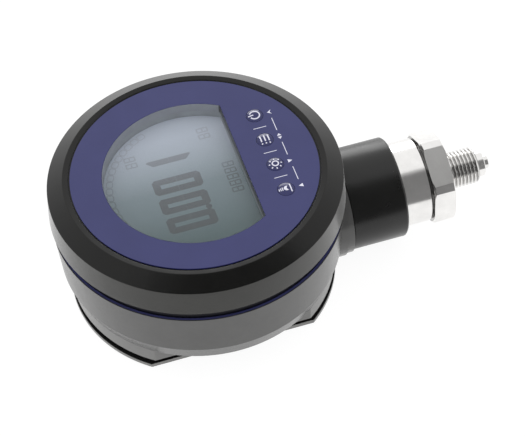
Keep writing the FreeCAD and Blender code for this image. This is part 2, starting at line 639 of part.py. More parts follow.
def make_stem():
    """Swivelling neck with its seal, clip and stop, and the sensor in the process connection."""
    seal_end = "stem_seal_start + stem_seal_section"
    groove_floor = "journal_radius - clip_groove_depth"
    sleeve = turned_piece("neck_sleeve", [
        ("lead_radius", "tail_start"), ("journal_radius", "tail_start"), ("journal_radius", "clip_start"),
        (groove_floor, "clip_start"), (groove_floor, "clip_end"), ("journal_radius", "clip_end"),
        ("journal_radius", "stem_seal_start - stem_seal_room"),
        ("stem_seal_radius", "stem_seal_start - stem_seal_room"),
        ("stem_seal_radius", f"{seal_end} + stem_seal_room"),
        ("journal_radius", f"{seal_end} + stem_seal_room"), ("journal_radius", "neck_start"),
        ("neck_radius", "neck_start"), ("neck_radius", "neck_end - neck_edge"),
        ("neck_radius - neck_edge", "neck_end"), ("neck_cavity_radius", "neck_end"),
        ("neck_cavity_radius", "neck_end - neck_cavity_depth"),
        ("lead_radius", "neck_end - neck_cavity_depth")], along_stem=True)
    track = new_sketch(sleeve, "stop_track", "XZ_Plane")
    rectangle(track, "stop_circle - stop_track", "stop_circle + stop_track",
              "neck_start - swivel_gap", "neck_start + stop_groove_depth")
    cut(sleeve, track, angle="2 * (swivel_half_turn * 1 deg + asin(stop_track / stop_circle))", middle=True)
    pieces.append(rod("stop_pin", "stop_radius", "boss_face - stop_seat", "boss_face + stop_reach",
                      x="stop_circle"))
    plain_ring("stem_seal", "stem_seal_radius", "journal_radius", "stem_seal_start", seal_end,
               along_stem=True)
    clip = plain_ring("stem_clip", f"{groove_floor} + clip_fit", "clip_radius", "clip_start", "clip_end",
                      along_stem=True)
    opening = new_sketch(clip, "opening", "XZ_Plane")
    rectangle(opening, "lead_radius", "clip_radius + clip_room",
              "clip_start - clip_gap", "clip_end + clip_gap")
    cut(clip, opening, angle="clip_opening", middle=True)
    make_process_connection()
    pieces.append(rod("sensor_cell", "sensor_radius - sensor_gap", "sensor_start", "sensor_floor"))
    pieces.append(rod("sensor_board", "neck_cavity_radius - sensor_board_gap",
                      "sensor_board_start", "sensor_start"))
    pieces.append(rod("sensor_socket", "sensor_socket_radius", "sensor_socket_start", "sensor_board_start"))


def make_process_connection():
    """Steel connection: shank, collar, spanner hexagon, pipe thread blank and spigot on one axis."""
    waist = "collar_radius - groove_depth"
    relief = "thread_radius - relief_depth"
    body = turned_piece("process_connection", [
        ("0", "shank_start"), ("shank_radius", "shank_start"), ("shank_radius", "neck_end"),
        ("collar_radius", "neck_end"), ("collar_radius", "collar_end - collar_edge"),
        ("collar_radius - collar_edge", "collar_end"), (waist, "collar_end"), (waist, "hex_end"),
        (relief, "hex_end"), (relief, "hex_end + relief_length - relief_depth"),
        ("thread_radius", "hex_end + relief_length"), ("thread_radius", "thread_end - thread_edge"),
        ("thread_radius - thread_edge", "thread_end"), ("step_radius", "thread_end"),
        ("step_radius", "step_end - tip_edge"), ("step_radius - tip_edge", "step_end"),
        ("tip_radius", "step_end"), ("tip_radius", "tip_end - tip_edge"),
        ("tip_radius - tip_edge", "tip_end"), ("0", "tip_end")], along_stem=True)
    hexagon = new_sketch(body, "hexagon", level="hex_start")
    turns = [360 / HEX_SIDES * side for side in range(HEX_SIDES)]
    polygon(hexagon, [(f"hex_corner * sin({turn})", f"hex_corner * cos({turn})") for turn in turns])
    pad(body, hexagon, "hex_length")
    # Corners turned to a cylinder with a bevel at both ends
    turning = new_sketch(body, "hex_turning", "XZ_Plane")
    bevel, outside = "hex_radius - hex_edge * sqrt(3)", "hex_corner + hex_edge"
    polygon(turning, [(bevel, "hex_start"), (outside, "hex_start"), (outside, "hex_end"), (bevel, "hex_end"),
                      ("hex_radius", "hex_end - hex_edge"), ("hex_radius", "hex_start + hex_edge")])
    cut(body, turning)
    seat = new_sketch(body, "sensor_seat", level="shank_start")
    circle(seat, "sensor_radius")
    cut(body, seat, "sensor_seat", up=True)
    channel = new_sketch(body, "channel", level="tip_end")
    circle(channel, "channel_radius")
    cut(body, channel, "tip_end - sensor_floor")


make_rear_case()
make_cover()
make_cells()
make_front()
make_display()
make_board()
make_keys()
make_stem()
doc.recompute()

for item in doc.Objects:
    if "Invalid" in item.State or "Error" in item.State:
        raise ValueError(f"{item.Label} is in state {item.State}")
for piece in pieces:
    if piece.Shape.isNull() or not piece.Shape.isValid():
        raise ValueError(f"{piece.Label} has no valid shape")

os.makedirs("parts", exist_ok=True)
for piece in pieces:
    piece.Shape.exportStep(f"parts/{piece.Label}.step")
print(len(pieces), "pieces")
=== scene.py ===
"""Looks of a round digital pressure gauge: housing, front, display, keys, connection and studio."""
import json
import logging
import math
from collections.abc import Callable, Sequence
from dataclasses import dataclass
from enum import Enum

import bmesh
import bpy
import numpy as np
from mathutils import Matrix, Vector


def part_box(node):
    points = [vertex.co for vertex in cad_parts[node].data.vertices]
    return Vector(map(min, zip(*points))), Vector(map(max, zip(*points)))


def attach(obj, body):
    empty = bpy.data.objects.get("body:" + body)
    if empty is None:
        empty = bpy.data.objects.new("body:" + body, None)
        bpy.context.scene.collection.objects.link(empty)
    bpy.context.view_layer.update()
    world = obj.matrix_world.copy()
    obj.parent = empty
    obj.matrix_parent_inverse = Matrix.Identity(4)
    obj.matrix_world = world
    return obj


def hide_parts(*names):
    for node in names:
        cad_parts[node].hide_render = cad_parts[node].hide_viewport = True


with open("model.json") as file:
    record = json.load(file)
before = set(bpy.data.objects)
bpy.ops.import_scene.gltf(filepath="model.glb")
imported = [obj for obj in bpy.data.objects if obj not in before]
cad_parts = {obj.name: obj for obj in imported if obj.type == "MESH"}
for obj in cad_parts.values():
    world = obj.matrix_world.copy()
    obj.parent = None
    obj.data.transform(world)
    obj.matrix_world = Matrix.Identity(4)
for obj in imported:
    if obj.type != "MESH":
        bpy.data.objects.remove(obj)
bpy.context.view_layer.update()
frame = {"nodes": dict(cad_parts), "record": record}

MM = 0.001
PHOTO_WIDTH = 525

# Edges that turn more than this stay sharp, on moulded and on turned pieces.
SMOOTH_ANGLE = math.radians(32)
TURNED_ANGLE = math.radians(20)

# Edges that turn more than the first angle are rounded. Faces that turn less than the second are joined.
EASE_ANGLE = math.radians(12)
FLAT_ANGLE = math.radians(0.4)
EASE_STEPS = 3
EASE_PROFILE = 0.5

# Corners closer than this are one, and this is how much large faces count in the shading.
WELD = 1e-6
FACE_WEIGHT = 80

# Most of the noise lies between these two values.
NOISE_LOW = 0.3
NOISE_HIGH = 0.7

# How strong the finer layers of the noise are.
NOISE_ROUGHNESS = 0.55

# Places of the colour sockets on a node that mixes colours.
MIX_AMOUNT = 0
MIX_FIRST = 6
MIX_SECOND = 7
MIX_RESULT = 2

# A hexagon's share of a turn, and the slope of the cones that its ends are turned to.
SECTOR = math.pi / 3
CONE_SLOPE = math.sqrt(3)

UP = Vector((0, 0, 1))
RIGHT = Vector((1, 0, 0))
WHITE = (1.0, 1.0, 1.0, 1.0)

Colour = tuple[float, float, float]
Rgba = tuple[float, float, float, float]
Pair = tuple[float, float]
Place = tuple[float, float]
Spot = tuple[float, float, float]
Height = Callable[[float, float], float]
Ring = Callable[[np.ndarray], tuple[np.ndarray, np.ndarray]]
Node = bpy.types.Node
Socket = bpy.types.NodeSocket
Inputs = dict[str | int, object]

log = logging.getLogger("gauge")


class Body(Enum):
    """Bodies of the frame that more than one piece rides on."""

    CASE = "case"
    STEM = "stem"


class Key(Enum):
    """The four keys, each a body and a node of that name."""

    LIGHT = "light_key"
    ZERO = "zero_key"
    MENU = "menu_key"
    POWER = "power_key"


class Slot(Enum):
    """Material slots of the record."""

    CASE = "case_plastic"
    BEZEL = "bezel_plastic"
    NECK = "neck_plastic"
    ACCENT = "accent_plastic"
    OVERLAY = "overlay_film"
    PANE = "clear_pane"
    CRYSTAL = "display_grey"
    GUIDE = "white_plastic"
    FRAME = "frame_plastic"
    RUBBER = "rubber"
    KEY = "key_rubber"
    BOARD = "board"
    COMPONENT = "black_component"
    SOCKET = "socket_plastic"
    CELL = "cell_can"
    SPRING = "spring_steel"
    STAINLESS = "stainless"
    SENSOR = "sensor_metal"


class Axis(Enum):
    """Axes of the frame."""

    X = "X"
    Y = "Y"
    Z = "Z"


class Sum(Enum):
    """Sums that a node can do."""

    ADD = "ADD"
    SUBTRACT = "SUBTRACT"
    ABSOLUTE = "ABSOLUTE"
    LESS_THAN = "LESS_THAN"
    MAXIMUM = "MAXIMUM"
    COMPARE = "COMPARE"


class Blend(Enum):
    """Ways to mix two colours."""

    MIX = "MIX"
    MULTIPLY = "MULTIPLY"


def scaled(colour: Colour, share: float) -> Colour:
    """A colour made lighter or darker by a share."""
    return tuple(min(1.0, part * share) for part in colour)


def grey(level: float) -> Colour:
    """A grey of one level."""
    return (level, level, level)


def opaque(colour: Colour) -> Rgba:
    """A colour in the form that a socket takes."""
    return (*colour, 1.0)


class Nodes:
    """Short calls that grow one node tree."""

    def __init__(self, tree: bpy.types.NodeTree) -> None:
        """Start from an empty tree."""
        self.tree = tree
        tree.nodes.clear()

    def add(self, kind: str, inputs: Inputs | None = None, **settings: object) -> Node:
        """Add a node.

        Args:
            kind: The node's type, after the words that all types start with.
            inputs: Values or sockets for the node's inputs, by name or place.
            settings: The node's own settings.

        Returns:
            The new node.
        """
        node = self.tree.nodes.new(f"ShaderNode{kind}")
        for name, setting in settings.items():
            setattr(node, name, setting)
        for name, value in (inputs or {}).items():
            if isinstance(value, Socket):
                self.tree.links.new(value, node.inputs[name])
            else:
                node.inputs[name].default_value = value
        return node

    def place(self, stretch: Sequence[float] = (1, 1, 1)) -> Socket:
        """The place on the object in metres, stretched along each axis."""
        spot = self.add("TexCoord").outputs["Object"]
        return self.add("Mapping", {"Vector": spot, "Scale": stretch}).outputs["Vector"]

    def along(self, vector: Socket, axis: Axis) -> Socket:
        """The part of a vector along an axis."""
        return self.add("SeparateXYZ", {"Vector": vector}).outputs[axis.value]

    def coordinate(self, axis: Axis) -> Socket:
        """The place on the object along one axis, in metres."""
        return self.along(self.place(), axis)

    def facing(self, axis: Axis) -> Socket:
        """How much a face looks along an axis, from -1 to 1."""
        return self.along(self.add("NewGeometry").outputs["True Normal"], axis)

    def noise(self, size: float, detail: float = 2.0, stretch: Sequence[float] = (1, 1, 1)) -> Socket:
        """Soft noise between 0 and 1.

        Args:
            size: The size of its lumps in metres.
            detail: How many finer layers lie on top.
            stretch: How much denser it is along each axis.

        Returns:
            The noise's value.
        """
        return self.add("TexNoise", {
            "Vector": self.place(stretch),
            "Scale": 1 / size,
            "Detail": detail,
            "Roughness": NOISE_ROUGHNESS,
        }).outputs["Fac"]

    def ranged(self, amount: Socket, start: float, end: float, low: float = 0.0, high: float = 1.0) -> Socket:
        """A number that follows an amount and stays between two limits.

        Args:
            amount: The amount.
            start: The amount at which the number is low.
            end: The amount at which it is high.
            low: The low number.
            high: The high number.

        Returns:
            The number's socket.
        """
        return self.add("MapRange", {
            "Value": amount, "From Min": start, "From Max": end, "To Min": low, "To Max": high,
        }).outputs["Result"]

    def spread(self, noise: Socket, middle: float, reach: float) -> Socket:
        """A number that follows noise to both sides of its middle."""
        return self.ranged(noise, NOISE_LOW, NOISE_HIGH, middle - reach, middle + reach)

    def reckon(self, kind: Sum, *values: Socket | float) -> Socket:
        """The result of a sum."""
        return self.add("Math", dict(enumerate(values)), operation=kind.value).outputs[0]

    def shades(self, amount: Socket, *steps: tuple[float, Colour]) -> Socket:
        """A colour that runs through steps as an amount grows.

        Args:
            amount: The amount, from 0 to 1.
            steps: The amount and the colour of each step.

        Returns:
            The colour's socket.
        """
        ramp = self.add("ValToRGB", {"Fac": amount})
        while len(ramp.color_ramp.elements) < len(steps):
            ramp.color_ramp.elements.new(1.0)
        for element, (position, colour) in zip(ramp.color_ramp.elements, steps):
            element.position = position
            element.color = opaque(colour)
        return ramp.outputs["Color"]

    def clouded(self, noise: Socket, colour: Colour, uneven: float) -> Socket:
        """A colour that gets lighter and darker by a share as noise does."""
        dark, light = scaled(colour, 1 - uneven), scaled(colour, 1 + uneven)
        return self.shades(noise, (NOISE_LOW, dark), (NOISE_HIGH, light))

    def mixed(self, amount: Socket | float, first: Socket | Rgba, second: Socket | Rgba,
              blend: Blend = Blend.MIX) -> Socket:
        """A mix of two colours, from the first one to their blend."""
        inputs = {MIX_AMOUNT: amount, MIX_FIRST: first, MIX_SECOND: second}
        return self.add("Mix", inputs, data_type="RGBA", blend_type=blend.value).outputs[MIX_RESULT]

    def bump(self, height: Socket, depth: float, strength: Socket | float = 1.0) -> Socket:
        """A normal that follows a height of the given depth in metres, at a strength between 0 and 1."""
        return self.add("Bump", {"Height": height, "Strength": strength, "Distance": depth}).outputs["Normal"]

    def either(self, amount: Socket | float, first: Node, second: Node) -> Node:
        """A shader that goes from the first to the second of two shaders."""
        return self.add("MixShader", {0: amount, 1: first.outputs[0], 2: second.outputs[0]})

    def show(self, shader: Node) -> None:
        """Send a shader to the material's surface."""
        self.add("OutputMaterial", {"Surface": shader.outputs[0]})

    def show_surface(self, inputs: Inputs) -> None:
        """Send one plain surface shader with these inputs to the material's surface."""
        self.show(self.add("BsdfPrincipled", inputs))


def blank_material(name: str) -> tuple[bpy.types.Material, Nodes]:
    """Add a material.

    Args:
        name: The material's name.

    Returns:
        The material and its empty node tree.
    """
    material = bpy.data.materials.new(name)
    material.use_nodes = True
    return material, Nodes(material.node_tree)


@dataclass(frozen=True)
class Finish:
    """A surface finish: its name, its colour and how rough it is."""

    name: str
    colour: Colour
    roughness: float

    def material(self) -> bpy.types.Material:
        """Make the finish's material on its first use.

        Returns:
            The material.
        """
        made = bpy.data.materials.get(self.name)
        if made is None:
            made, nodes = blank_material(self.name)
            self.shade(nodes)
        return made

    def shade(self, nodes: Nodes) -> None:
        """Fill the material's node tree."""
        raise NotImplementedError


@dataclass(frozen=True)
class Moulded(Finish):
    """Moulded plastic or rubber with a fine grain and slightly uneven tone."""

    grain: float = 0.28 * MM
    depth: float = 0.012 * MM
    cloud: float = 9 * MM
    cloud_detail: float = 5.0
    uneven: float = 0.12
    rough_spread: float = 0.04
    specular: float = 0.5
    sheen: float = 0.0
    sheen_roughness: float = 0.4

    def clouds(self, nodes: Nodes) -> Socket:
        """The noise that the tone and the roughness follow."""
        return nodes.noise(self.cloud, self.cloud_detail)

    def shade(self, nodes: Nodes) -> None:
        """Grain in the bump, clouds in the colour and the roughness."""
        cloud = self.clouds(nodes)
        self.coat(nodes, nodes.clouded(cloud, self.colour, self.uneven), cloud)

    def coat(self, nodes: Nodes, colour: Socket, cloud: Socket, strength: Socket | float = 1.0) -> None:
        """Put the colour, the clouds and the grain into one shader.

        Args:
            nodes: The material's nodes.
            colour: The colour's socket.
            cloud: The noise that the roughness follows.
            strength: How strong the grain is, between 0 and 1.
        """
        nodes.show_surface({
            "Base Color": colour,
            "Roughness": nodes.spread(cloud, self.roughness, self.rough_spread),
            "Specular IOR Level": self.specular,
            "Sheen Weight": self.sheen,
            "Sheen Roughness": self.sheen_roughness,
            "Normal": nodes.bump(nodes.noise(self.grain), self.depth, strength),
        })


@dataclass(frozen=True)
class FacingShadedPlastic(Moulded):
    """Moulded plastic with grained walls and smooth upward faces, each in its own colour, so that one of them
    carries painted shade.
    """

    front_colour: Colour = (0.01, 0.01, 0.01)
    front_facing: float = 0.7
    wall_facing: float = 0.2

    def shade(self, nodes: Nodes) -> None:
        """Two colours by how much a face looks upward, one of them painted shade.

        Args:
            nodes: The material's nodes.
        """
        cloud = self.clouds(nodes)
        # Which way a face looks picks its colour: painted shade on the darker side.
        wall = nodes.ranged(nodes.facing(Axis.Z), self.front_facing, self.wall_facing)
        colours = [nodes.clouded(cloud, colour, self.uneven) for colour in (self.front_colour, self.colour)]
        self.coat(nodes, nodes.mixed(wall, *colours), cloud, wall)


@dataclass(frozen=True)
class PaintedLightCase(Moulded):
    """Moulded plastic in bands by height: a black seam of painted shadow, a pale plinth of painted light and
    a darker wall above it.
    """

    seam_top: float = 5.75 * MM
    plinth_top: float = 11.4 * MM
    top: float = 40 * MM
    seam_shadow_share: float = 0.036
    wall_share: float = 0.375
    soft: float = 0.004

    def shade(self, nodes: Nodes) -> None:
        """Three bands by height with the plastic's clouds: painted shadow in the seam, painted light on the
        plinth.

        Args:
            nodes: The material's nodes.
        """
        cloud = self.clouds(nodes)
        rise = nodes.ranged(nodes.coordinate(Axis.Z), 0.0, self.top)
        seam, plinth = self.seam_top / self.top, self.plinth_top / self.top
        # Painted shadow in the seam, painted light on the plinth, and the darker wall above.
        dark, pale, wall = grey(self.seam_shadow_share), grey(1.0), grey(self.wall_share)
        bands = nodes.shades(
            rise, (seam - self.soft, dark), (seam, pale), (plinth - self.soft, pale), (plinth, wall))
        plain = nodes.clouded(cloud, self.colour, self.uneven)
        self.coat(nodes, nodes.mixed(1.0, plain, bands, Blend.MULTIPLY), cloud)


@dataclass(frozen=True)
class PrintedFilm(Finish):
    """Printed film with a faint orange-peel surface."""

    peel: float = 0.9 * MM
    peel_detail: float = 3.0
    depth: float = 0.0025 * MM
    cloud: float = 14 * MM
    cloud_detail: float = 4.0
    uneven: float = 0.05
    rough_spread: float = 0.03
    specular: float = 0.5

    def shade(self, nodes: Nodes) -> None:
        """A nearly even colour under a satin surface.

        Args:
            nodes: The material's nodes.
        """
        cloud = nodes.noise(self.cloud, self.cloud_detail)
        nodes.show_surface({
            "Base Color": nodes.clouded(cloud, self.colour, self.uneven),
            "Roughness": nodes.spread(cloud, self.roughness, self.rough_spread),
            "Specular IOR Level": self.specular,
            "Normal": nodes.bump(nodes.noise(self.peel, self.peel_detail), self.depth),
        })


@dataclass(frozen=True)
class ClearPane(Finish):
    """Clear window whose faces mirror a little, with a milky round edge and a straight edge dark with painted
    shade.
    """

    tint: Colour = (0.95, 0.97, 0.96)
    mirror: float = 0.03
    straight_shade_colour: Colour = (0.02, 0.02, 0.03)
    straight_y: float = -16.5 * MM
    edge_facing: float = 0.5
    edge_roughness: float = 0.4
    cloud: float = 4 * MM
    cloud_detail: float = 3.0
    uneven: float = 0.06

    def shade(self, nodes: Nodes) -> None:
        """See-through on the level faces and painted on the upright ones.

        Args:
            nodes: The material's nodes.
        """
        level = nodes.reckon(Sum.ABSOLUTE, nodes.facing(Axis.Z))
        upright = nodes.reckon(Sum.LESS_THAN, level, self.edge_facing)
        # The straight edge is dark with painted shade.
        straight = nodes.reckon(Sum.LESS_THAN, nodes.coordinate(Axis.Y), self.straight_y)
        clear = nodes.add("BsdfTransparent", {"Color": opaque(self.tint)})
        gloss = nodes.add("BsdfGlossy", {"Color": WHITE, "Roughness": self.roughness})
        cloud = nodes.noise(self.cloud, self.cloud_detail)
        colours = [nodes.clouded(cloud, colour, self.uneven)
                   for colour in (self.colour, self.straight_shade_colour)]
        edge = nodes.add("BsdfPrincipled", {
            "Base Color": nodes.mixed(straight, *colours),
            "Roughness": self.edge_roughness,
        })
        nodes.show(nodes.either(upright, nodes.either(self.mirror, clear, gloss), edge))


@dataclass(frozen=True)
class CrystalCell(Finish):
    """Liquid crystal cell, whose tone runs from dark at -X to pale at +X: a painted gradient of light."""

    middle_colour: Colour
    far_colour: Colour
    reach: float = 32 * MM
    shares: tuple[float, float, float] = (0.12, 0.5, 0.85)
    speck: float = 0.5 * MM
    drift: float = 0.015
    rough_spread: float = 0.02
    specular: float = 0.2

    def shade(self, nodes: Nodes) -> None:
        """Three tones across the display, a painted gradient of light, with fine mottling.

        Args:
            nodes: The material's nodes.
        """
        across = nodes.ranged(nodes.coordinate(Axis.X), -self.reach, self.reach)
        speck = nodes.noise(self.speck)
        mottled = nodes.reckon(Sum.ADD, nodes.spread(speck, 0.0, self.drift), across)
        tones = zip(self.shares, (self.colour, self.middle_colour, self.far_colour))
        nodes.show_surface({
            "Base Color": nodes.shades(mottled, *tones),
            "Roughness": nodes.spread(speck, self.roughness, self.rough_spread),
            "Specular IOR Level": self.specular,
        })


@dataclass(frozen=True)
class TurnedSteel(Finish):
    """Metal turned on a lathe, with fine marks round the axis along Y."""

    mark: float = 0.16 * MM
    mark_detail: float = 3.0
    around: float = 0.02
    depth: float = 0.0012 * MM
    rough_spread: float = 0.05
    cloud: float = 6 * MM
    cloud_detail: float = 4.0
    uneven: float = 0.05

    def shade(self, nodes: Nodes) -> None:
        """Marks that run round the axis, in the bump and in the roughness.

        Args:
            nodes: The material's nodes.
        """
        marks = nodes.noise(self.mark, self.mark_detail, (self.around, 1, self.around))
        nodes.show_surface({
            "Base Color": self.tone(nodes),
            "Metallic": 1.0,
            "Roughness": nodes.spread(marks, self.roughness, self.rough_spread),
            "Normal": nodes.bump(marks, self.depth),
        })

    def tone(self, nodes: Nodes) -> Socket:
        """The metal's colour with faint clouds."""
        return nodes.clouded(nodes.noise(self.cloud, self.cloud_detail), self.colour, self.uneven)


@dataclass(frozen=True)
class ThreadedSteel(TurnedSteel):
    """Turned metal with painted shade in the roots of its cut thread and in its groove."""

    axis_z: float = 0.0
    thread_middle: float = 0.0
    thread_half: float = 0.0
    root_radius: float = 0.0
    crest_radius: float = 1.0
    root_shade_share: float = 0.55
    groove_middle: float = 0.0
    groove_half: float = 0.0
    groove_shade_share: float = 0.45

    def tone(self, nodes: Nodes) -> Socket:
        """The metal's colour with painted shade toward the thread's roots and in the groove.

        Args:
            nodes: The material's nodes.

        Returns:
            The colour's socket.
        """
        rise = nodes.reckon(Sum.SUBTRACT, nodes.coordinate(Axis.Z), self.axis_z)
        aside = nodes.add("CombineXYZ", {"X": nodes.coordinate(Axis.X), "Z": rise}).outputs[0]
        radius = nodes.add("VectorMath", {0: aside}, operation="LENGTH").outputs["Value"]
        # Painted shade grows toward the thread's roots.
        root_shade = nodes.ranged(radius, self.root_radius, self.crest_radius, self.root_shade_share)
        groove_shade_share = opaque(grey(self.groove_shade_share))
        colour = super().tone(nodes)
        for middle, half, share in ((self.thread_middle, self.thread_half, root_shade),
                                    (self.groove_middle, self.groove_half, groove_shade_share)):
            inside = nodes.reckon(Sum.COMPARE, nodes.coordinate(Axis.Y), -middle, half)
            colour = nodes.mixed(inside, colour, share, Blend.MULTIPLY)
        return colour


@dataclass(frozen=True)
class SolderMask(Finish):
    """Circuit board with tracks under its lacquer."""

    track_colour: Colour = (0.05, 0.30, 0.14)
    track_scale: float = 180.0
    track_width: float = 0.012
    track_depth: float = 0.01 * MM
    row_share: float = 0.9
    cloud: float = 2 * MM
    rough_spread: float = 0.05

    def shade(self, nodes: Nodes) -> None:
        """Rows of tracks a little lighter than the ground.

        Args:
            nodes: The material's nodes.
        """
        tracks = nodes.add("TexBrick", {
            "Vector": nodes.place(),
            "Scale": self.track_scale,
            "Mortar Size": self.track_width,
            "Color1": opaque(self.colour),
            "Color2": opaque(scaled(self.colour, self.row_share)),
            "Mortar": opaque(self.track_colour),
        })
        nodes.show_surface({
            "Base Color": tracks.outputs["Color"],
            "Roughness": nodes.spread(nodes.noise(self.cloud), self.roughness, self.rough_spread),
            "Normal": nodes.bump(tracks.outputs["Fac"], self.track_depth),
        })


# The case's seam carries painted shadow, and its plinth carries painted light.
CASE_PLASTIC = PaintedLightCase(
    "grained_case", (0.180, 0.179, 0.175), 0.23, grain=0.5 * MM, depth=0.045 * MM, specular=0.7)
# Cover walls lightened by painted light from the floor, and upward faces black with painted shadow in the
# seam.
COVER_PLASTIC = FacingShadedPlastic(
    "grained_cover", (0.240, 0.238, 0.233), 0.24, depth=0.014 * MM, specular=0.6,
    front_colour=(0.010, 0.010, 0.010))
# Bezel whose upward chamfer and lip are nearly black with painted shade, darker than its grained walls.
BEZEL_PLASTIC = FacingShadedPlastic(
    "grained_bezel", (0.034, 0.034, 0.031), 0.20, grain=0.5 * MM, depth=0.045 * MM, specular=0.28,
    sheen=0.45, front_colour=(0.0015, 0.0015, 0.001))
NECK_PLASTIC = Moulded("satin_neck", (0.0035, 0.0035, 0.003), 0.30, depth=0.003 * MM)
# Ring whose walls are black with painted shadow under the bezel, and whose upward foot shows its own blue.
ACCENT_PLASTIC = FacingShadedPlastic(
    "blue_accent", (0.002, 0.002, 0.006), 0.40, depth=0.004 * MM, specular=0.2,
    front_colour=(0.055, 0.060, 0.170))
OVERLAY_FILM = PrintedFilm("blue_film", (0.0255, 0.0295, 0.138), 0.34)
KEY_FILM = PrintedFilm("blue_key", (0.0160, 0.0185, 0.105), 0.13)
WHITE_INK = PrintedFilm("white_ink", (0.84, 0.84, 0.95), 0.45)
# Cell, figures and fields each run from a dark -X side to a pale +X side: painted light.
CRYSTAL = CrystalCell(
    "crystal_grey", (0.076, 0.117, 0.132), 0.40, (0.215, 0.254, 0.298), (0.57, 0.585, 0.71))
SEGMENT_INK = CrystalCell(
    "segment_ink", (0.052, 0.060, 0.070), 0.40, (0.118, 0.122, 0.145), (0.375, 0.375, 0.45))
FAINT_INK = CrystalCell(
    "faint_segment", (0.048, 0.072, 0.084), 0.40, (0.130, 0.148, 0.178), (0.48, 0.48, 0.585))
PANE = ClearPane("clear_window", (0.28, 0.29, 0.335), 0.05)
STAINLESS = TurnedSteel("turned_steel", (0.86, 0.85, 0.835), 0.16)
SCREW_STEEL = TurnedSteel("screw_steel", (0.50, 0.49, 0.48), 0.32)

SLOT_FINISHES: dict[Slot, Finish] = {
    Slot.CASE: CASE_PLASTIC,
    Slot.BEZEL: BEZEL_PLASTIC,
    Slot.NECK: NECK_PLASTIC,
    Slot.ACCENT: ACCENT_PLASTIC,
    Slot.OVERLAY: OVERLAY_FILM,
    Slot.PANE: PANE,
    Slot.CRYSTAL: CRYSTAL,
    Slot.GUIDE: Moulded("white_guide", (0.72, 0.72, 0.69), 0.4),
    Slot.FRAME: Moulded("display_wall", (0.32, 0.33, 0.37), 0.45),
    Slot.RUBBER: Moulded("black_rubber", (0.022, 0.022, 0.022), 0.7, grain=0.5 * MM, specular=0.3),
    Slot.KEY: KEY_FILM,
    Slot.BOARD: SolderMask("green_board", (0.02, 0.16, 0.07), 0.35),
    Slot.COMPONENT: Moulded("black_component", (0.030, 0.030, 0.032), 0.5),
    Slot.SOCKET: Moulded("cream_socket", (0.60, 0.57, 0.47), 0.42),
    Slot.CELL: TurnedSteel("cell_wrap", (0.36, 0.37, 0.39), 0.3, mark=1.2 * MM),
    Slot.SPRING: TurnedSteel("nickel_spring", (0.62, 0.60, 0.56), 0.3, mark=0.4 * MM),
    Slot.STAINLESS: STAINLESS,
    Slot.SENSOR: TurnedSteel("ground_metal", (0.56, 0.56, 0.55), 0.28),
}


def dress(mesh: bpy.types.Mesh, finish: Finish) -> None:
    """Give a mesh one finish all over."""
    mesh.materials.clear()
    mesh.materials.append(finish.material())


def dress_nodes() -> None:
    """Give every node of the frame the finish of its slot and smooth shading on its round faces."""
    for part in frame["record"]["subparts"]:
        mesh = frame["nodes"][part["node"]].data
        dress(mesh, SLOT_FINISHES[Slot(part["material_slot"])])
        mesh.shade_smooth()


def new_object(name: str, data: bpy.types.ID) -> bpy.types.Object:
    """Add an object to the scene.

    Args:
        name: The object's name.
        data: Its mesh, lamp or camera.

    Returns:
        The new object.
    """
    made = bpy.data.objects.new(name, data)
    bpy.context.scene.collection.objects.link(made)
    return made


def add_piece(name: str, mesh: bpy.types.Mesh, finish: Finish, slot: Slot, body: Body | Key,
              *nodes: str) -> bpy.types.Object:
    """Add a mesh to the scene as a piece that rides on a body.

    Args:
        name: The piece's name.
        mesh: Its mesh, in metres in the frame.
        finish: Its finish.
        slot: The record's material slot that it belongs to; not used.
        body: The body that it moves with.
        nodes: The nodes that it stands for.

    Returns:
        The new object.
    """
    piece = new_object(name, mesh)
    dress(mesh, finish)
    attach(piece, body.value)
    if nodes:
        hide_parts(*nodes)
    log.info("%s: %d faces on %s", name, len(mesh.polygons), body.value)
    return piece


def even_shading(piece: bpy.types.Object) -> None:
    """Let large faces keep their own direction, so that only the rounded edges turn the light.

    Args:
        piece: The piece with the faces.
    """
    weigh = piece.modifiers.new("even_shading", "WEIGHTED_NORMAL")
    weigh.keep_sharp = True
    weigh.weight = FACE_WEIGHT


def smooth_mesh(name: str, shape: bmesh.types.BMesh, angle: float = SMOOTH_ANGLE) -> bpy.types.Mesh:
    """Turn a shape into a mesh that is smooth apart from its sharp edges.

    Args:
        name: The mesh's name.
        shape: The shape, which is used up.
        angle: Edges that turn more than this stay sharp.

    Returns:
        The new mesh.
    """
    bmesh.ops.recalc_face_normals(shape, faces=shape.faces)
    mesh = bpy.data.meshes.new(name)
    shape.to_mesh(mesh)
    shape.free()
    mesh.shade_smooth()
    mesh.set_sharp_from_angle(angle=angle)
    return mesh


def eased_mesh(node: str, width: float, wanted: Callable[[Vector], bool]) -> bpy.types.Mesh:
    """A copy of a node's mesh with some of its sharp edges rounded.

    Args:
        node: The node to copy.
        width: The width of the rounding in metres.
        wanted: Tells from an edge's middle whether it is rounded.

    Returns:
        The new mesh.
    """
    shape = bmesh.new()
    shape.from_mesh(frame["nodes"][node].data)
    bmesh.ops.remove_doubles(shape, verts=shape.verts, dist=WELD)
    bmesh.ops.dissolve_limit(shape, angle_limit=FLAT_ANGLE, verts=shape.verts, edges=shape.edges)
    edges = [
        edge for edge in shape.edges
        if len(edge.link_faces) == 2 and edge.calc_face_angle(0) > EASE_ANGLE
        and wanted((edge.verts[0].co + edge.verts[1].co) / 2)]
    bmesh.ops.bevel(shape, geom=edges, offset=width, offset_type="WIDTH", segments=EASE_STEPS,
                    profile=EASE_PROFILE, affect="EDGES", clamp_overlap=True)
    return smooth_mesh(f"{node}_eased", shape)


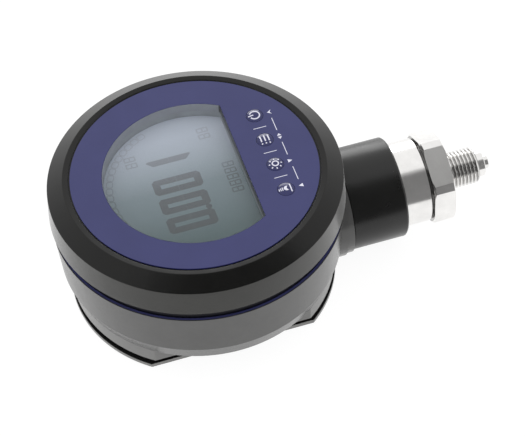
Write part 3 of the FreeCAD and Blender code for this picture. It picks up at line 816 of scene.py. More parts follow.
@dataclass(frozen=True)
class Lathe:
    """Skins wound about one axis, with its angles counted from a direction square to it."""

    origin: Vector
    along: Vector
    start: Vector
    turns: np.ndarray

    def skin(self, name: str, rings: Sequence[Ring], loop: bool) -> bpy.types.Mesh:
        """A closed skin through rings.

        Args:
            name: The mesh's name.
            rings: Functions from the angle to the radius and the distance along the axis.
            loop: Whether the last ring joins the first, as round a hole. Else both ends lie on the axis.

        Returns:
            The skin's mesh.
        """
        turn = self.turns
        side = self.along.cross(self.start)
        wide, tall, far = (np.array(axis)[None, :] for axis in (self.start, side, self.along))
        circle = np.cos(turn)[:, None] * wide + np.sin(turn)[:, None] * tall
        points = []
        for ring in rings:
            radius, distance = (np.broadcast_to(part, turn.shape)[:, None] for part in ring(turn))
            points.append(np.array(self.origin) + circle * radius + far * distance)
        count, around = len(rings), len(turn)
        quads = [
            (row * around + column, row * around + (column + 1) % around,
             (row + 1) % count * around + (column + 1) % around, (row + 1) % count * around + column)
            for row in range(count if loop else count - 1) for column in range(around)]
        rough = bpy.data.meshes.new(f"{name}_rough")
        rough.from_pydata(np.concatenate(points).tolist(), [], quads)
        shape = bmesh.new()
        shape.from_mesh(rough)
        bpy.data.meshes.remove(rough)
        bmesh.ops.remove_doubles(shape, verts=shape.verts, dist=WELD)
        return smooth_mesh(name, shape, TURNED_ANGLE)


def upright_lathe(x: float, y: float, steps: int) -> Lathe:
    """A lathe whose axis stands upright at a place, with evenly spaced angles."""
    return Lathe(Vector((x, y, 0)), UP, RIGHT, np.linspace(0, 2 * math.pi, steps, endpoint=False))


def plain_ring(radius: float, distance: float) -> Ring:
    """A ring of one radius at one distance along the axis."""
    return lambda turn: (np.full_like(turn, radius), np.full_like(turn, distance))


def plain_rings(spots: Sequence[Pair]) -> list[Ring]:
    """Rings from their radii and their distances along the axis."""
    return [plain_ring(*spot) for spot in spots]


def hexagon_reach(turn: np.ndarray, across: float) -> np.ndarray:
    """How far a hexagon with a corner at angle 0 reaches at each angle."""
    return across / 2 / np.cos(np.mod(turn, SECTOR) - SECTOR / 2)


def hexagon_ring(across: float, distance: float) -> Ring:
    """A hexagonal ring at one distance along the axis."""
    return lambda turn: (hexagon_reach(turn, across), np.full_like(turn, distance))


class Marks:
    """Thin raised marks, gathered into one mesh."""

    SHORTEST_MITRE = 0.5

    def __init__(self, height: Height, thickness: float) -> None:
        """Marks that follow a ground and stand a thickness above it.

        Args:
            height: The ground's level at a place.
            thickness: How far the marks stand above the ground.
        """
        self.height = height
        self.thickness = thickness
        self.shape = bmesh.new()

    def corner(self, place: Sequence[float], raised: bool) -> bmesh.types.BMVert:
        """A corner on the ground, or above it."""
        x, y = float(place[0]), float(place[1])
        return self.shape.verts.new((x, y, self.height(x, y) + (self.thickness if raised else 0)))

    def join(self, ring: Sequence[bmesh.types.BMVert], other: Sequence[bmesh.types.BMVert]) -> None:
        """Fill the strip between two closed rings.

        Args:
            ring: The corners of the first ring.
            other: The corners of the second ring, as many and in the same order.
        """
        for index in range(len(ring)):
            after = (index + 1) % len(ring)
            self.shape.faces.new((ring[index], other[index], other[after], ring[after]))

    def patch(self, outline: Sequence[Place], rows: int = 1) -> None:
        """A filled mark inside an outline.

        Args:
            outline: The places round it.
            rows: How many rows lead from its edge to its middle, more where the ground is curved.
        """
        spots = np.array(outline, float)
        middle = spots.mean(axis=0)
        edges = []
        for raised in (True, False):
            rings = [[self.corner(middle + (spot - middle) * share, raised) for spot in spots]
                     for share in np.linspace(1, 0, rows, endpoint=False)]
            for ring, inner in zip(rings, rings[1:]):
                self.join(ring, inner)
            self.shape.faces.new(rings[-1])
            edges.append(rings[0])
        self.join(*edges)

    def stroke(self, path: Sequence[Place], width: float, closed: bool = False) -> None:
        """A line of even width along a path.

        Args:
            path: The places that it passes.
            width: Its width.
            closed: Whether its end joins its start.
        """
        spots = np.array(path, float)
        ahead = np.roll(spots, -1, axis=0) - spots
        behind = np.roll(ahead, 1, axis=0)
        if not closed:
            ahead[-1] = behind[-1]
            behind[0] = ahead[0]
        ahead /= np.linalg.norm(ahead, axis=1, keepdims=True)
        behind /= np.linalg.norm(behind, axis=1, keepdims=True)
        way = ahead + behind
        way /= np.linalg.norm(way, axis=1, keepdims=True)
        reach = width / 2 / np.clip(np.sum(way * ahead, axis=1), self.SHORTEST_MITRE, 1)
        aside = np.stack([-way[:, 1], way[:, 0]], axis=1) * reach[:, None]
        rows = [
            [self.corner(left, True), self.corner(right, True),
             self.corner(right, False), self.corner(left, False)]
            for left, right in zip(spots + aside, spots - aside)]
        for row, after in zip(rows, rows[1:] + (rows[:1] if closed else [])):
            for index in range(len(row)):
                turn = (index + 1) % len(row)
                self.shape.faces.new((row[index], row[turn], after[turn], after[index]))
        if not closed:
            self.shape.faces.new(rows[0])
            self.shape.faces.new(rows[-1][::-1])

    def mesh(self, name: str) -> bpy.types.Mesh:
        """All the marks as one mesh."""
        return smooth_mesh(name, self.shape)


def level_marks(level: float, thickness: float) -> Marks:
    """Marks of a thickness on level ground."""
    return Marks(lambda x, y: level, thickness)


def line(start: Place, end: Place, steps: int) -> list[Place]:
    """Places along a straight line."""
    return [tuple(spot) for spot in np.linspace(start, end, steps + 1)]


def arc(centre: Place, radius: float, first: float, last: float, steps: int,
        closed: bool = False) -> list[Place]:
    """Places along an arc between two angles in degrees, without its end where it is closed."""
    angles = np.radians(np.linspace(first, last, steps + (0 if closed else 1), endpoint=not closed))
    return [(centre[0] + radius * math.cos(turn), centre[1] + radius * math.sin(turn)) for turn in angles]


def circle(centre: Place, radius: float, steps: int) -> list[Place]:
    """Places round a full circle."""
    return arc(centre, radius, 0, 360, steps, closed=True)


@dataclass
class Housing:
    """Case, bezel and cover with eased edges, the ring in the groove, and the cover's screws."""

    ease: float = 0.45 * MM
    fine_ease: float = 0.3 * MM
    outer_radius: float = 42.5 * MM
    accent_wall: float = 1.3 * MM
    accent_reach: float = 0.8 * MM
    accent_foot: float = 0.12 * MM
    accent_steps: int = 192
    screw_head: float = 2.5 * MM
    screw_edge: float = 0.1 * MM
    screw_shank: float = 1.25 * MM
    screw_sink: float = 1.25 * MM
    screw_point: float = 0.6 * MM
    screw_tip_share: float = 0.5
    screw_steps: int = 48
    socket_across: float = 2.5 * MM
    socket_depth: float = 0.9 * MM

    def build(self) -> None:
        """Make the pieces of the housing."""
        self.build_case()
        self.build_accent()
        self.build_screws()

    def outside(self, middle: Vector) -> bool:
        """Whether an edge with this middle lies on the outside of the housing."""
        return math.hypot(middle.x, middle.y) > self.outer_radius

    def build_case(self) -> None:
        """Rounded copies of the pieces whose edges show."""
        bezel_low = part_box("accent_ring")[1].z

        def on_bezel(middle: Vector) -> bool:
            """Whether an edge lies on the outside above the groove."""
            return self.outside(middle) and middle.z > bezel_low - WELD

        pieces = (
            ("case_shell", "rear_case", self.ease, self.outside, CASE_PLASTIC, Slot.CASE),
            ("bezel_ring", "front_bezel", self.ease, on_bezel, BEZEL_PLASTIC, Slot.BEZEL),
            ("cover_plate", "battery_cover", self.fine_ease, self.outside, COVER_PLASTIC, Slot.CASE))
        for name, node, width, wanted, finish, slot in pieces:
            mesh = eased_mesh(node, width, wanted)
            even_shading(add_piece(name, mesh, finish, slot, Body.CASE, node))

    def build_accent(self) -> None:
        """The ring in the groove, with a thin foot that lies on the case's rim."""
        low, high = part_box("accent_ring")
        outside, inside = high.x, high.x - self.accent_wall
        rim, foot = outside + self.accent_reach, low.z + self.accent_foot
        outline = [(inside, low.z), (rim, low.z), (rim, foot), (outside, foot),
                   (outside, high.z), (inside, high.z)]
        mesh = upright_lathe(0, 0, self.accent_steps).skin("accent_band", plain_rings(outline), loop=True)
        add_piece("accent_band", mesh, ACCENT_PLASTIC, Slot.ACCENT, Body.CASE, "accent_ring")

    def build_screws(self) -> None:
        """Countersunk screws with a hexagon socket in place of the plain ones."""
        low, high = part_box("cover_screws")
        head, shank, top = self.screw_head, self.screw_shank, high.z
        rings = [
            plain_ring(0, self.socket_depth), hexagon_ring(self.socket_across, self.socket_depth),
            hexagon_ring(self.socket_across, 0), plain_ring(head - self.screw_edge, 0),
            plain_ring(head, self.screw_edge), plain_ring(shank, self.screw_sink),
            plain_ring(shank, top - self.screw_point), plain_ring(shank * self.screw_tip_share, top),
            plain_ring(0, top)]
        shape = bmesh.new()
        for x in (low.x + head, high.x - head):
            for y in (low.y + head, high.y - head):
                screw = upright_lathe(x, y, self.screw_steps).skin("screw", rings, loop=False)
                shape.from_mesh(screw)
                bpy.data.meshes.remove(screw)
        mesh = smooth_mesh("socket_screws", shape)
        add_piece("socket_screws", mesh, SCREW_STEEL, Slot.SPRING, Body.CASE, "cover_screws")


@dataclass
class Front:
    """White print on the overlay film."""

    ink: float = 0.02 * MM
    line_width: float = 0.25 * MM
    separator_y: float = -26.9 * MM
    separator_length: float = 4.6 * MM
    sign_y: float = -32.1 * MM
    sign_size: float = 1.55 * MM
    sign_gap: float = 2.9 * MM
    pair_near: float = 0.17
    pair_far: float = 0.85
    notched_wide: float = 1.3
    notch_low: float = 0.2

    def build(self) -> None:
        """Lines between the keys, and signs joined by lines beside them."""
        marks = level_marks(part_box("front_overlay")[1].z, self.ink)
        middles = [sum(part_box(key.value), Vector()).x / 2 for key in Key]
        half = self.separator_length / 2
        for left, right in zip(middles, middles[1:]):
            x = (left + right) / 2
            marks.stroke([(x, self.separator_y - half), (x, self.separator_y + half)], self.line_width)
            marks.stroke([(left + self.sign_gap, self.sign_y), (right - self.sign_gap, self.sign_y)],
                         self.line_width)
        self.draw_signs(marks, middles)
        add_piece("front_print", marks.mesh("front_print"), WHITE_INK, Slot.OVERLAY, Body.CASE)

    def draw_signs(self, marks: Marks, places: Sequence[float]) -> None:
        """Draw small arrows along the row: one up, one down, a pair that parts and a notched one.

        Args:
            marks: The marks to add them to.
            places: Where the four signs stand along the row.
        """
        first, second, pair, notched = places
        y, half = self.sign_y, self.sign_size / 2
        for x, reach in ((first, half), (second, -half)):
            marks.patch([(x, y + reach), (x - reach, y - reach), (x + reach, y - reach)])
        for way in (-1, 1):
            near, far = (pair + way * share * self.sign_size for share in (self.pair_near, self.pair_far))
            marks.patch([(far, y), (near, y + way * half), (near, y - way * half)])
        wide = self.notched_wide * half
        marks.patch([(notched, y + half), (notched - wide, y - half), (notched, y - self.notch_low * half),
                     (notched + wide, y - half)])


@dataclass(frozen=True)
class Figure:
    """The shape of one seven-segment figure."""

    width: float
    height: float
    stroke: float
    gap: float
    round_off: float = 0.4

    def draw(self, marks: Marks, segments: str, centre: Place) -> None:
        """Draw some of the segments, mitred where they meet at a corner whose outside is cut off.

        Args:
            marks: The marks to add them to.
            segments: The wanted segments by their usual letters, a to g.
            centre: The figure's middle.
        """
        wide, tall, gap, cut = self.width / 2, self.height / 2, self.gap / 2, self.stroke * self.round_off
        inner_x, inner_y = wide - self.stroke, tall - self.stroke
        half = [(wide - cut, tall), (wide - cut / 2 - gap, tall - cut / 2), (inner_x - gap, inner_y)]
        top = half + [(-x, y) for x, y in half[::-1]]
        side = [(wide, tall - cut), (wide - cut / 2, tall - cut / 2 - gap), (inner_x, inner_y - gap),
                (inner_x, gap), (wide, gap)]
        bar = [(x * (inner_x - gap), y * self.stroke / 2) for x, y in ((-1, 1), (-1, -1), (1, -1), (1, 1))]
        shapes = {"a": (top, 1, 1), "b": (side, 1, 1), "c": (side, 1, -1), "d": (top, 1, -1),
                  "e": (side, -1, -1), "f": (side, -1, 1), "g": (bar, 1, 1)}
        for letter in segments:
            outline, flip_x, flip_y = shapes[letter]
            marks.patch([(centre[0] + flip_x * x, centre[1] + flip_y * y) for x, y in outline])


@dataclass
class Display:
    """Clear window, and the figures, bar graph and small fields of the liquid crystal cell."""

    ink: float = 0.02 * MM
    figure: Figure = Figure(7.0 * MM, 17.0 * MM, 2.6 * MM, 0.06 * MM)
    figure_y: float = 5.75 * MM
    figure_x: tuple[float, ...] = (-15.7 * MM, -6.8 * MM, 2.2 * MM, 11.2 * MM)
    reading: tuple[str, ...] = ("abcdef", "abcdef", "abcdef", "bc")
    point_share: float = 0.42
    point_steps: int = 12
    small: Figure = Figure(2.3 * MM, 4.2 * MM, 0.5 * MM, 0.08 * MM)
    small_step: float = 1.3
    small_reading: str = "abcdefg"
    fields: tuple[tuple[float, float, int], ...] = (
        (-7.0 * MM, -13.0 * MM, 5), (20.0 * MM, -9.0 * MM, 2), (15.0 * MM, 18.5 * MM, 2))
    graph_radius: float = 29.4 * MM
    graph_block: Pair = (2.6 * MM, 2.2 * MM)
    graph_round: float = 0.3
    graph_round_steps: int = 3
    graph_ends: Pair = (24, 156)
    graph_count: int = 23
    graph_line: float = 0.3 * MM
    pane_flange: float = 1.6 * MM
    pane_steps: int = 120

    def build(self) -> None:
        """The clear window over dark figures and faint fields."""
        self.build_window()
        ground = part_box("display_glass")[1].z
        dark, faint = level_marks(ground, self.ink), level_marks(ground, self.ink)
        for x, segments in zip(self.figure_x, self.reading):
            self.figure.draw(dark, segments, (x, self.figure_y))
        self.draw_point(dark)
        self.draw_graph(faint)
        step = self.small.width * self.small_step
        for x, y, count in self.fields:
            for index in range(count):
                self.small.draw(faint, self.small_reading, (x + index * step, y))
        for name, marks, finish in (("display_figures", dark, SEGMENT_INK),
                                    ("faint_fields", faint, FAINT_INK)):
            add_piece(name, marks.mesh(name), finish, Slot.CRYSTAL, Body.CASE)

    def build_window(self) -> None:
        """The window as a plain slab that reaches straight down to the display's wall."""
        low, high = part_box("display_pane")
        radius, chord = high.y - self.pane_flange, -low.y - self.pane_flange
        lean = math.degrees(math.asin(chord / radius))
        slab = level_marks(low.z, high.z - low.z)
        slab.patch(arc((0, 0), radius, -lean, 180 + lean, self.pane_steps))
        add_piece("window_slab", slab.mesh("window_slab"), PANE, Slot.PANE, Body.CASE, "display_pane")

    def draw_point(self, marks: Marks) -> None:
        """Draw the decimal point after the first figure.

        Args:
            marks: The marks to add it to.
        """
        x = (self.figure_x[0] + self.figure_x[1]) / 2
        y = self.figure_y - self.figure.height / 2 + self.figure.stroke / 2
        marks.patch(circle((x, y), self.figure.stroke * self.point_share, self.point_steps))

    def draw_graph(self, marks: Marks) -> None:
        """Draw rounded blocks in outline along the top of the display.

        Args:
            marks: The marks to add them to.
        """
        length, depth = self.graph_block
        round_off = depth * self.graph_round
        block = []
        for index, (x, y) in enumerate(((1, 1), (-1, 1), (-1, -1), (1, -1))):
            corner = (x * (length / 2 - round_off), y * (depth / 2 - round_off))
            block += arc(corner, round_off, index * 90, index * 90 + 90, self.graph_round_steps)
        for turn in np.linspace(*self.graph_ends, self.graph_count):
            spin = Matrix.Rotation(math.radians(turn - 90), 2)
            places = [tuple(spin @ Vector((x, y + self.graph_radius))) for x, y in block]
            marks.stroke(places, self.graph_line, closed=True)


@dataclass(frozen=True)
class Dome:
    """The round top of a key, which rises by its crown above the front's face."""

    middle: Vector
    face: float
    crown: float
    radius: float

    @property
    def ball(self) -> float:
        """Radius of the ball that the dome is cut from."""
        return (self.radius ** 2 + self.crown ** 2) / (2 * self.crown)

    def height(self, x: float, y: float) -> float:
        """The dome's level at a place."""
        away = (x - self.middle.x) ** 2 + (y - self.middle.y) ** 2
        return self.face + self.crown - self.ball + math.sqrt(self.ball ** 2 - away)


@dataclass(frozen=True)
class Sign:
    """A white sign on a key, whose sizes are shares of its reach."""

    reach: float = 2.2 * MM
    line_width: float = 0.46 * MM

    def draw(self, marks: Marks, x: float, y: float) -> None:
        """Add the sign to some marks, round a middle."""
        raise NotImplementedError


@dataclass(frozen=True)
class PowerSign(Sign):
    """A ring open at the top with a bar in the opening."""

    ring: float = 0.79
    ring_ends: Pair = (118, 422)
    ring_steps: int = 30
    bar: Pair = (0.2, 1.05)
    bar_steps: int = 5

    def draw(self, marks: Marks, x: float, y: float) -> None:
        """Add the ring and the bar.

        Args:
            marks: The marks to add them to.
            x: The sign's middle along X.
            y: The sign's middle along Y.
        """
        low, high = (y + share * self.reach for share in self.bar)
        marks.stroke(arc((x, y), self.ring * self.reach, *self.ring_ends, self.ring_steps), self.line_width)
        marks.stroke(line((x, low), (x, high), self.bar_steps), self.line_width)


@dataclass(frozen=True)
class ListSign(Sign):
    """Three lines, each with a dot before it."""

    rise: float = 0.62
    ends: Pair = (-0.45, 0.85)
    steps: int = 6
    dot: float = -0.82
    dot_share: float = 0.6
    dot_steps: int = 10

    def draw(self, marks: Marks, x: float, y: float) -> None:
        """Add the lines and the dots.

        Args:
            marks: The marks to add them to.
            x: The sign's middle along X.
            y: The sign's middle along Y.
        """
        start, end, dot = (x + share * self.reach for share in (*self.ends, self.dot))
        for row in (-1, 0, 1):
            level = y + row * self.rise * self.reach
            marks.stroke(line((start, level), (end, level), self.steps), self.line_width)
            marks.patch(circle((dot, level), self.dot_share * self.line_width, self.dot_steps))


@dataclass(frozen=True)
class SunSign(Sign):
    """A small ring with rays round it."""

    ring: float = 0.48
    ring_steps: int = 24
    rays: int = 8
    ray: Pair = (0.82, 1.06)
    ray_steps: int = 2

    def draw(self, marks: Marks, x: float, y: float) -> None:
        """Add the ring and the rays.

        Args:
            marks: The marks to add them to.
            x: The sign's middle along X.
            y: The sign's middle along Y.
        """
        ring = circle((x, y), self.ring * self.reach, self.ring_steps)
        marks.stroke(ring, self.line_width, closed=True)
        starts, ends = (circle((x, y), share * self.reach, self.rays) for share in self.ray)
        for start, end in zip(starts, ends):
            marks.stroke(line(start, end, self.ray_steps), self.line_width)


@dataclass(frozen=True)
class TorchSign(Sign):
    """A half disc over a long bar, with three short bars above.

    Each bar has half its length, its rise above the middle and its share of the line's width.
    """

    disc: float = 0.45
    disc_low: float = -0.3
    disc_middle: float = -0.1
    disc_steps: int = 14
    disc_rows: int = 4
    bars: tuple[tuple[float, float, float], ...] = (
        (0.8, -0.75, 0.9), (0.32, 0.55, 0.7), (0.27, 0.82, 0.7), (0.22, 1.08, 0.7))
    bar_steps: int = 6

    def draw(self, marks: Marks, x: float, y: float) -> None:
        """Add the half disc and the bars.

        Args:
            marks: The marks to add them to.
            x: The sign's middle along X.
            y: The sign's middle along Y.
        """
        wide, low, middle = (share * self.reach for share in (self.disc, self.disc_low, self.disc_middle))
        upper = arc((x, y + middle), wide, 0, 180, self.disc_steps)
        marks.patch([(x - wide, y + low), (x + wide, y + low), *upper], self.disc_rows)
        for half, rise, width in self.bars:
            start, end = ((x + way * half * self.reach, y + rise * self.reach) for way in (-1, 1))
            marks.stroke(line(start, end, self.bar_steps), self.line_width * width)


@dataclass
class KeyPad:
    """Domed keys, each with its sign."""

    ink: float = 0.02 * MM
    flange_radius: float = 3.8 * MM
    flange: float = 0.7 * MM
    radius: float = 2.9 * MM
    dome_share: float = 0.985
    steps: int = 72
    rows: int = 14
    signs: tuple[tuple[Key, Sign], ...] = (
        (Key.LIGHT, TorchSign()), (Key.ZERO, SunSign()), (Key.MENU, ListSign()), (Key.POWER, PowerSign()))

    def build(self) -> None:
        """Make the four keys and draw a sign on each."""
        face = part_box("front_overlay")[1].z
        for key, sign in self.signs:
            low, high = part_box(key.value)
            dome = Dome((low + high) / 2, face, high.z - face - self.ink, self.radius)
            name = f"{key.value}_dome"
            add_piece(name, self.key_mesh(name, dome, low.z), KEY_FILM, Slot.KEY, key, key.value)
            marks = Marks(dome.height, self.ink)
            sign.draw(marks, dome.middle.x, dome.middle.y)
            name = f"{key.value}_sign"
            add_piece(name, marks.mesh(name), WHITE_INK, Slot.KEY, key)

    def key_mesh(self, name: str, dome: Dome, foot: float) -> bpy.types.Mesh:
        """Turn one key with its flange and its dome.

        Args:
            name: The mesh's name.
            dome: The key's dome.
            foot: The level of its foot.

        Returns:
            The key's mesh.
        """
        x, y = dome.middle.x, dome.middle.y
        ledge = foot + self.flange
        outline = [(0, foot), (self.flange_radius, foot), (self.flange_radius, ledge), (self.radius, ledge),
                   (self.radius, dome.face - self.ink)]
        outline += [(out, dome.height(x + out, y))
                    for out in np.linspace(self.radius * self.dome_share, 0, self.rows)]
        return upright_lathe(x, y, self.steps).skin(name, plain_rings(outline), loop=False)


@dataclass(frozen=True)
class Stations:
    """Where the sections of the connection start and end, along its axis."""

    shank_start: float
    neck_end: float
    collar_end: float
    hex_start: float
    hex_end: float
    thread_end: float
    step_end: float
    tip_end: float


@dataclass
class Connection:
    """Neck and turned steel connection with its spanner hexagon, cut thread and spigot."""

    ease: float = 0.3 * MM
    rim_share: float = 0.9
    tip_length: float = 2.0 * MM
    step_length: float = 2.7 * MM
    thread_length: float = 12.5 * MM
    hex_length: float = 7.8 * MM
    groove_width: float = 0.6 * MM
    collar_length: float = 9.9 * MM
    seat_depth: float = 4.5 * MM
    seat_radius: float = 9.0 * MM
    shank_radius: float = 12.45 * MM
    collar_radius: float = 15.1 * MM
    collar_edge: float = 0.5 * MM
    waist_radius: float = 12.7 * MM
    hex_across: float = 30.0 * MM
    hex_turning: float = 0.8 * MM
    hex_edge: float = 0.5 * MM
    corner_steps: int = 4
    flat_steps: int = 22
    thread_radius: float = 6.5785 * MM
    pitch: float = 1.337 * MM
    thread_depth: float = 0.856 * MM
    thread_edge: float = 0.9 * MM
    flank_slope: float = 1.5
    flank_start: float = 0.25
    rings_per_turn: int = 16
    relief_radius: float = 5.5785 * MM
    relief_length: float = 2.2 * MM
    step_radius: float = 4.75 * MM
    tip_radius: float = 2.5 * MM
    tip_edge: float = 0.3 * MM
    channel_radius: float = 1.4 * MM

    @property
    def hex_radius(self) -> float:
        """Radius of the hexagon's turned corners."""
        return self.hex_across / math.sqrt(3) - self.hex_turning

    def turns(self) -> np.ndarray:
        """Work out angles that hit the ends of each flat of the hexagon.

        Returns:
            The angles round a full turn.
        """
        half = SECTOR / 2 - math.acos(self.hex_across / 2 / self.hex_radius)
        corner = np.linspace(-half, half, self.corner_steps, endpoint=False)
        flat = np.linspace(half, SECTOR - half, self.flat_steps, endpoint=False)
        return np.concatenate([np.concatenate([corner, flat]) + side * SECTOR for side in range(6)])

    def stations(self) -> Stations:
        """Work out the sections from the ends of the node and their lengths.

        Returns:
            The places along the axis.
        """
        low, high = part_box("process_connection")
        step_end = -low.y - self.tip_length
        thread_end = step_end - self.step_length
        hex_end = thread_end - self.thread_length
        hex_start = hex_end - self.hex_length
        collar_end = hex_start - self.groove_width
        neck_end = collar_end - self.collar_length
        return Stations(-high.y, neck_end, collar_end, hex_start, hex_end, thread_end, step_end, -low.y)

    def build(self) -> None:
        """Make the neck and the steel connection."""
        neck_low, neck_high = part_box("neck_sleeve")
        axis_z = (neck_low.z + neck_high.z) / 2
        rim = (neck_high.z - neck_low.z) / 2 * self.rim_share

        def at_rim(middle: Vector) -> bool:
            """Whether an edge lies on the outside of the neck."""
            return math.hypot(middle.x, middle.z - axis_z) > rim

        neck = eased_mesh("neck_sleeve", self.ease, at_rim)
        add_piece("neck_shell", neck, NECK_PLASTIC, Slot.NECK, Body.STEM, "neck_sleeve")
        lathe = Lathe(Vector((0, 0, axis_z)), Vector((0, -1, 0)), UP, self.turns())
        skin = lathe.skin("steel_connection", self.rings(), loop=True)
        steel = self.steel(axis_z)
        add_piece("steel_connection", skin, steel, Slot.STAINLESS, Body.STEM, "process_connection")

    def steel(self, axis_z: float) -> ThreadedSteel:
        """The steel's finish, with painted shade in the thread and in the groove of this connection.

        Args:
            axis_z: The level of the connection's axis.

        Returns:
            The finish.
        """
        at = self.stations()
        return ThreadedSteel(
            "threaded_steel", STAINLESS.colour, STAINLESS.roughness, axis_z=axis_z,
            thread_middle=(at.hex_end + at.thread_end) / 2, thread_half=self.thread_length / 2,
            root_radius=self.thread_radius - self.thread_depth, crest_radius=self.thread_radius,
            groove_middle=(at.collar_end + at.hex_start) / 2, groove_half=self.groove_width / 2 + WELD)

    def rings(self) -> list[Ring]:
        """Work out all rings, from the sensor's seat over the outside to the spigot's hole.

        Returns:
            The rings in order.
        """
        at = self.stations()
        floor = at.shank_start + self.seat_depth
        edge, fine = self.collar_edge, self.tip_edge
        inner = [(self.channel_radius, floor), (self.seat_radius, floor), (self.seat_radius, at.shank_start),
                 (self.shank_radius, at.shank_start), (self.shank_radius, at.neck_end),
                 (self.collar_radius - fine, at.neck_end), (self.collar_radius, at.neck_end + fine),
                 (self.collar_radius, at.collar_end - edge), (self.collar_radius - edge, at.collar_end),
                 (self.waist_radius, at.collar_end), (self.waist_radius, at.hex_start)]
        outer = [(self.step_radius, at.thread_end), (self.step_radius, at.step_end - fine),
                 (self.step_radius - fine, at.step_end), (self.tip_radius, at.step_end),
                 (self.tip_radius, at.tip_end - fine), (self.tip_radius - fine, at.tip_end),
                 (self.channel_radius, at.tip_end)]
        return [*plain_rings(inner), *self.hex_rings(at.hex_start, at.hex_end),
                plain_ring(self.relief_radius, at.hex_end), *self.thread_rings(at.hex_end, at.thread_end),
                *plain_rings(outer)]

    def hex_reach(self, turn: np.ndarray) -> np.ndarray:
        """How far the hexagon with its turned corners reaches at each angle."""
        return np.minimum(hexagon_reach(turn, self.hex_across), self.hex_radius)

    def hex_end_ring(self, distance: float) -> Ring:
        """The ring where the cone at an end of the hexagon starts."""
        limit = self.hex_radius - self.hex_edge * CONE_SLOPE
        return lambda turn: (np.minimum(self.hex_reach(turn), limit), np.full_like(turn, distance))

    def hex_flat_ring(self, distance: float, inward: int) -> Ring:
        """The ring where the cone at an end of the hexagon meets its flats."""
        return lambda turn: (self.hex_reach(turn), distance + inward * np.clip(
            self.hex_edge - (self.hex_radius - self.hex_reach(turn)) / CONE_SLOPE, 0, None))

    def hex_rings(self, start: float, end: float) -> list[Ring]:
        """The spanner hexagon, with its corners turned to a cylinder and both ends to a cone."""
        return [self.hex_end_ring(start), self.hex_flat_ring(start, 1), self.hex_flat_ring(end, -1),
                self.hex_end_ring(end)]

    def thread_rings(self, start: float, end: float) -> list[Ring]:
        """Work out the undercut and the cut thread with a bevelled end.

        Args:
            start: Where the undercut starts along the axis.
            end: Where the thread ends.

        Returns:
            The rings in order.
        """
        rise = start + self.relief_length - (self.thread_radius - self.relief_radius)
        count = round((end - rise) / self.pitch * self.rings_per_turn)
        rings = []
        for distance in np.linspace(rise, end, count):
            bound = min(self.relief_radius + distance - rise, self.thread_radius,
                        self.thread_radius - self.thread_edge + end - distance)
            rings.append(self.thread_ring(distance, bound))
        return rings

    def thread_ring(self, distance: float, bound: float) -> Ring:
        """A cut through the thread.

        Args:
            distance: Where it lies along the axis.
            bound: The largest radius there.

        Returns:
            The ring.
        """
        def ring(turn: np.ndarray) -> tuple[np.ndarray, np.ndarray]:
            """Cut the thread's profile.

            Args:
                turn: The angles.

            Returns:
                The radius at each angle, and the distance.
            """
            phase = np.mod(distance / self.pitch - turn / (2 * math.pi), 1)
            ridge = np.clip((1 - np.abs(2 * phase - 1)) * self.flank_slope - self.flank_start, 0, 1)
            form = ridge * ridge * (3 - 2 * ridge)
            radius = self.thread_radius - self.thread_depth * (1 - form)
            return np.minimum(radius, bound), np.full_like(turn, distance)

        return ring


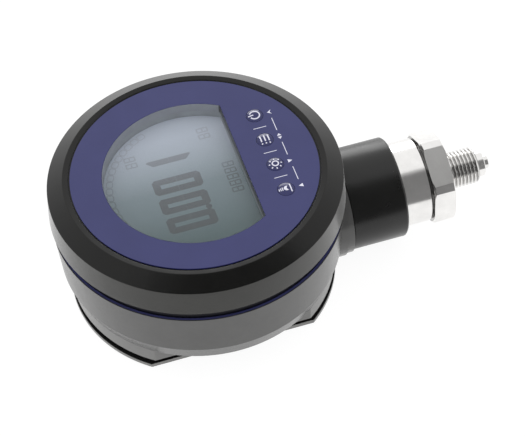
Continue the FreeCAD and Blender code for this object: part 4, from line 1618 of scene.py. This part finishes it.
@dataclass
class Studio:
    """Pale floor, soft light, a dim sweep on the camera's side, and the camera."""

    camera_place: Spot = (-529.046 * MM, 115.657 * MM, 658.446 * MM)
    camera_target: Spot = (-8.272 * MM, -20.540 * MM, 30.0 * MM)
    camera_roll: float = 3.658
    focal_pixels: float = 2400.0
    sensor_width: float = 36.0
    world_level: float = 0.90
    seen_level: float = 1.0
    floor_half: float = 6.0
    floor_drop: float = 0.2 * MM
    floor_glow: float = 0.92
    floor_colour: float = 0.80
    floor_shade: float = 0.16
    sweep_start: float = 0.115
    sweep_foot: float = 0.95
    sweep_bend: float = 0.75
    sweep_bend_end: float = 118.0
    sweep_bend_steps: int = 16
    sweep_top: float = 2.0
    sweep_half: float = 2.2
    sweep_colour: float = 0.24
    sweep_pale: float = 0.75
    sweep_pale_start: float = 0.78
    lamp_place: Spot = (1.7, -0.3, 0.42)
    lamp_size: float = 1.0
    lamp_power: float = 8.0

    def build(self) -> None:
        """Set up the view, the world, the stage, the lamp and the camera."""
        bpy.context.scene.view_settings.view_transform = "Standard"
        self.light_world()
        self.lay_floor()
        self.hang_sweep()
        self.add_lamp()
        self.aim_camera()

    def seen(self, nodes: Nodes) -> Socket:
        """Pick out the rays that show the background: from the camera, from gloss and through glass.

        Args:
            nodes: The nodes of the floor or the world.

        Returns:
            1 for these rays and 0 for others.
        """
        path = nodes.add("LightPath").outputs
        gloss = nodes.reckon(Sum.MAXIMUM, path["Is Glossy Ray"], path["Is Transmission Ray"])
        return nodes.reckon(Sum.MAXIMUM, path["Is Camera Ray"], gloss)

    def light_world(self) -> None:
        """White where it is seen, and an even soft light."""
        world = bpy.data.worlds.new("studio")
        world.use_nodes = True
        bpy.context.scene.world = world
        nodes = Nodes(world.node_tree)
        soft, white = (nodes.add("Background", {"Color": WHITE, "Strength": level})
                       for level in (self.world_level, self.seen_level))
        both = nodes.either(self.seen(nodes), soft, white)
        nodes.add("OutputWorld", {"Surface": both.outputs[0]})

    def stage_piece(self, name: str, places: list[Spot], faces: list[tuple[int, ...]]) -> bpy.types.Object:
        """Add a mesh of the studio to the scene.

        Args:
            name: The piece's name.
            places: Its corners.
            faces: Its faces, as numbers of corners.

        Returns:
            The new object.
        """
        mesh = bpy.data.meshes.new(name)
        mesh.from_pydata(places, [], faces)
        piece = new_object(name, mesh)
        return piece

    def lay_floor(self) -> None:
        """White floor that keeps a soft shadow, and is clear from below."""
        half = self.floor_half
        corners = [(-half, -half, 0), (half, -half, 0), (half, half, 0), (-half, half, 0)]
        floor = self.stage_piece("floor", corners, [(0, 1, 2, 3)])
        floor.location.z = -self.floor_drop
        material, nodes = blank_material("white_floor")
        plain, shade = (nodes.add("BsdfDiffuse", {"Color": opaque(grey(level))})
                        for level in (self.floor_colour, self.floor_shade))
        glow = nodes.add("Emission", {"Color": WHITE, "Strength": self.floor_glow})
        white = nodes.add("AddShader", {0: shade.outputs[0], 1: glow.outputs[0]})
        top = nodes.either(self.seen(nodes), plain, white)
        below = nodes.add("NewGeometry").outputs["Backfacing"]
        nodes.show(nodes.either(below, top, nodes.add("BsdfTransparent")))
        floor.data.materials.append(material)

    def sweep_profile(self) -> list[Pair]:
        """Work out the dim sweep: over the floor, round a bend and up behind the camera.

        Returns:
            The distance and the height of places along it.
        """
        bend = arc((self.sweep_foot, self.sweep_bend), self.sweep_bend, -90, self.sweep_bend_end - 90,
                   self.sweep_bend_steps)
        lean = math.radians(self.sweep_bend_end)
        last = (bend[-1][0] + self.sweep_top * math.cos(lean), bend[-1][1] + self.sweep_top * math.sin(lean))
        return [(self.sweep_start, 0.0), *bend, last]

    def hang_sweep(self) -> None:
        """Dim cloth on the camera's side, which shows in gloss only."""
        profile = self.sweep_profile()
        places = [(-out, way * self.sweep_half, height) for out, height in profile for way in (-1, 1)]
        faces = [(row, row + 1, row + 3, row + 2) for row in range(0, 2 * len(profile) - 2, 2)]
        sweep = self.stage_piece("dim_sweep", places, faces)
        sweep.data.shade_smooth()
        sweep.visible_camera = False
        sweep.visible_diffuse = False
        sweep.visible_shadow = False
        material, nodes = blank_material("dim_cloth")
        rise = nodes.ranged(nodes.coordinate(Axis.Z), 0.0, profile[-1][1])
        tone = nodes.shades(
            rise, (self.sweep_pale_start, grey(self.sweep_colour)), (1.0, grey(self.sweep_pale)))
        nodes.show(nodes.add("BsdfDiffuse", {"Color": tone}))
        sweep.data.materials.append(material)

    def add_lamp(self) -> None:
        """Large soft lamp on the far side."""
        lamp = bpy.data.lights.new("far_softbox", "AREA")
        lamp.shape = "SQUARE"
        lamp.size = self.lamp_size
        lamp.energy = self.lamp_power
        holder = new_object("far_softbox", lamp)
        holder.location = self.lamp_place
        holder.rotation_euler = Vector(self.lamp_place).to_track_quat("Z", "Y").to_euler()

    def aim_camera(self) -> None:
        """Camera at the photograph's place and angle."""
        data = bpy.data.cameras.new("photo_camera")
        data.sensor_width = self.sensor_width
        data.lens = self.focal_pixels / PHOTO_WIDTH * self.sensor_width
        camera = new_object("photo_camera", data)
        place, target = Vector(self.camera_place), Vector(self.camera_target)
        forward = (target - place).normalized()
        right = forward.cross(UP).normalized()
        upward = right.cross(forward)
        roll = math.radians(self.camera_roll)
        up = upward * math.cos(roll) + right * math.sin(roll)
        side = right * math.cos(roll) - upward * math.sin(roll)
        camera.matrix_world = Matrix.Translation(place) @ Matrix((side, up, -forward)).transposed().to_4x4()
        bpy.context.scene.camera = camera


def main() -> None:
    """Build the pieces in order."""
    logging.basicConfig(level=logging.INFO, format="%(name)s: %(message)s")
    dress_nodes()
    for part in (Studio(), Housing(), Front(), Display(), KeyPad(), Connection()):
        part.build()
        log.info("%s is done", type(part).__name__)


if __name__ == "__main__":
    main()
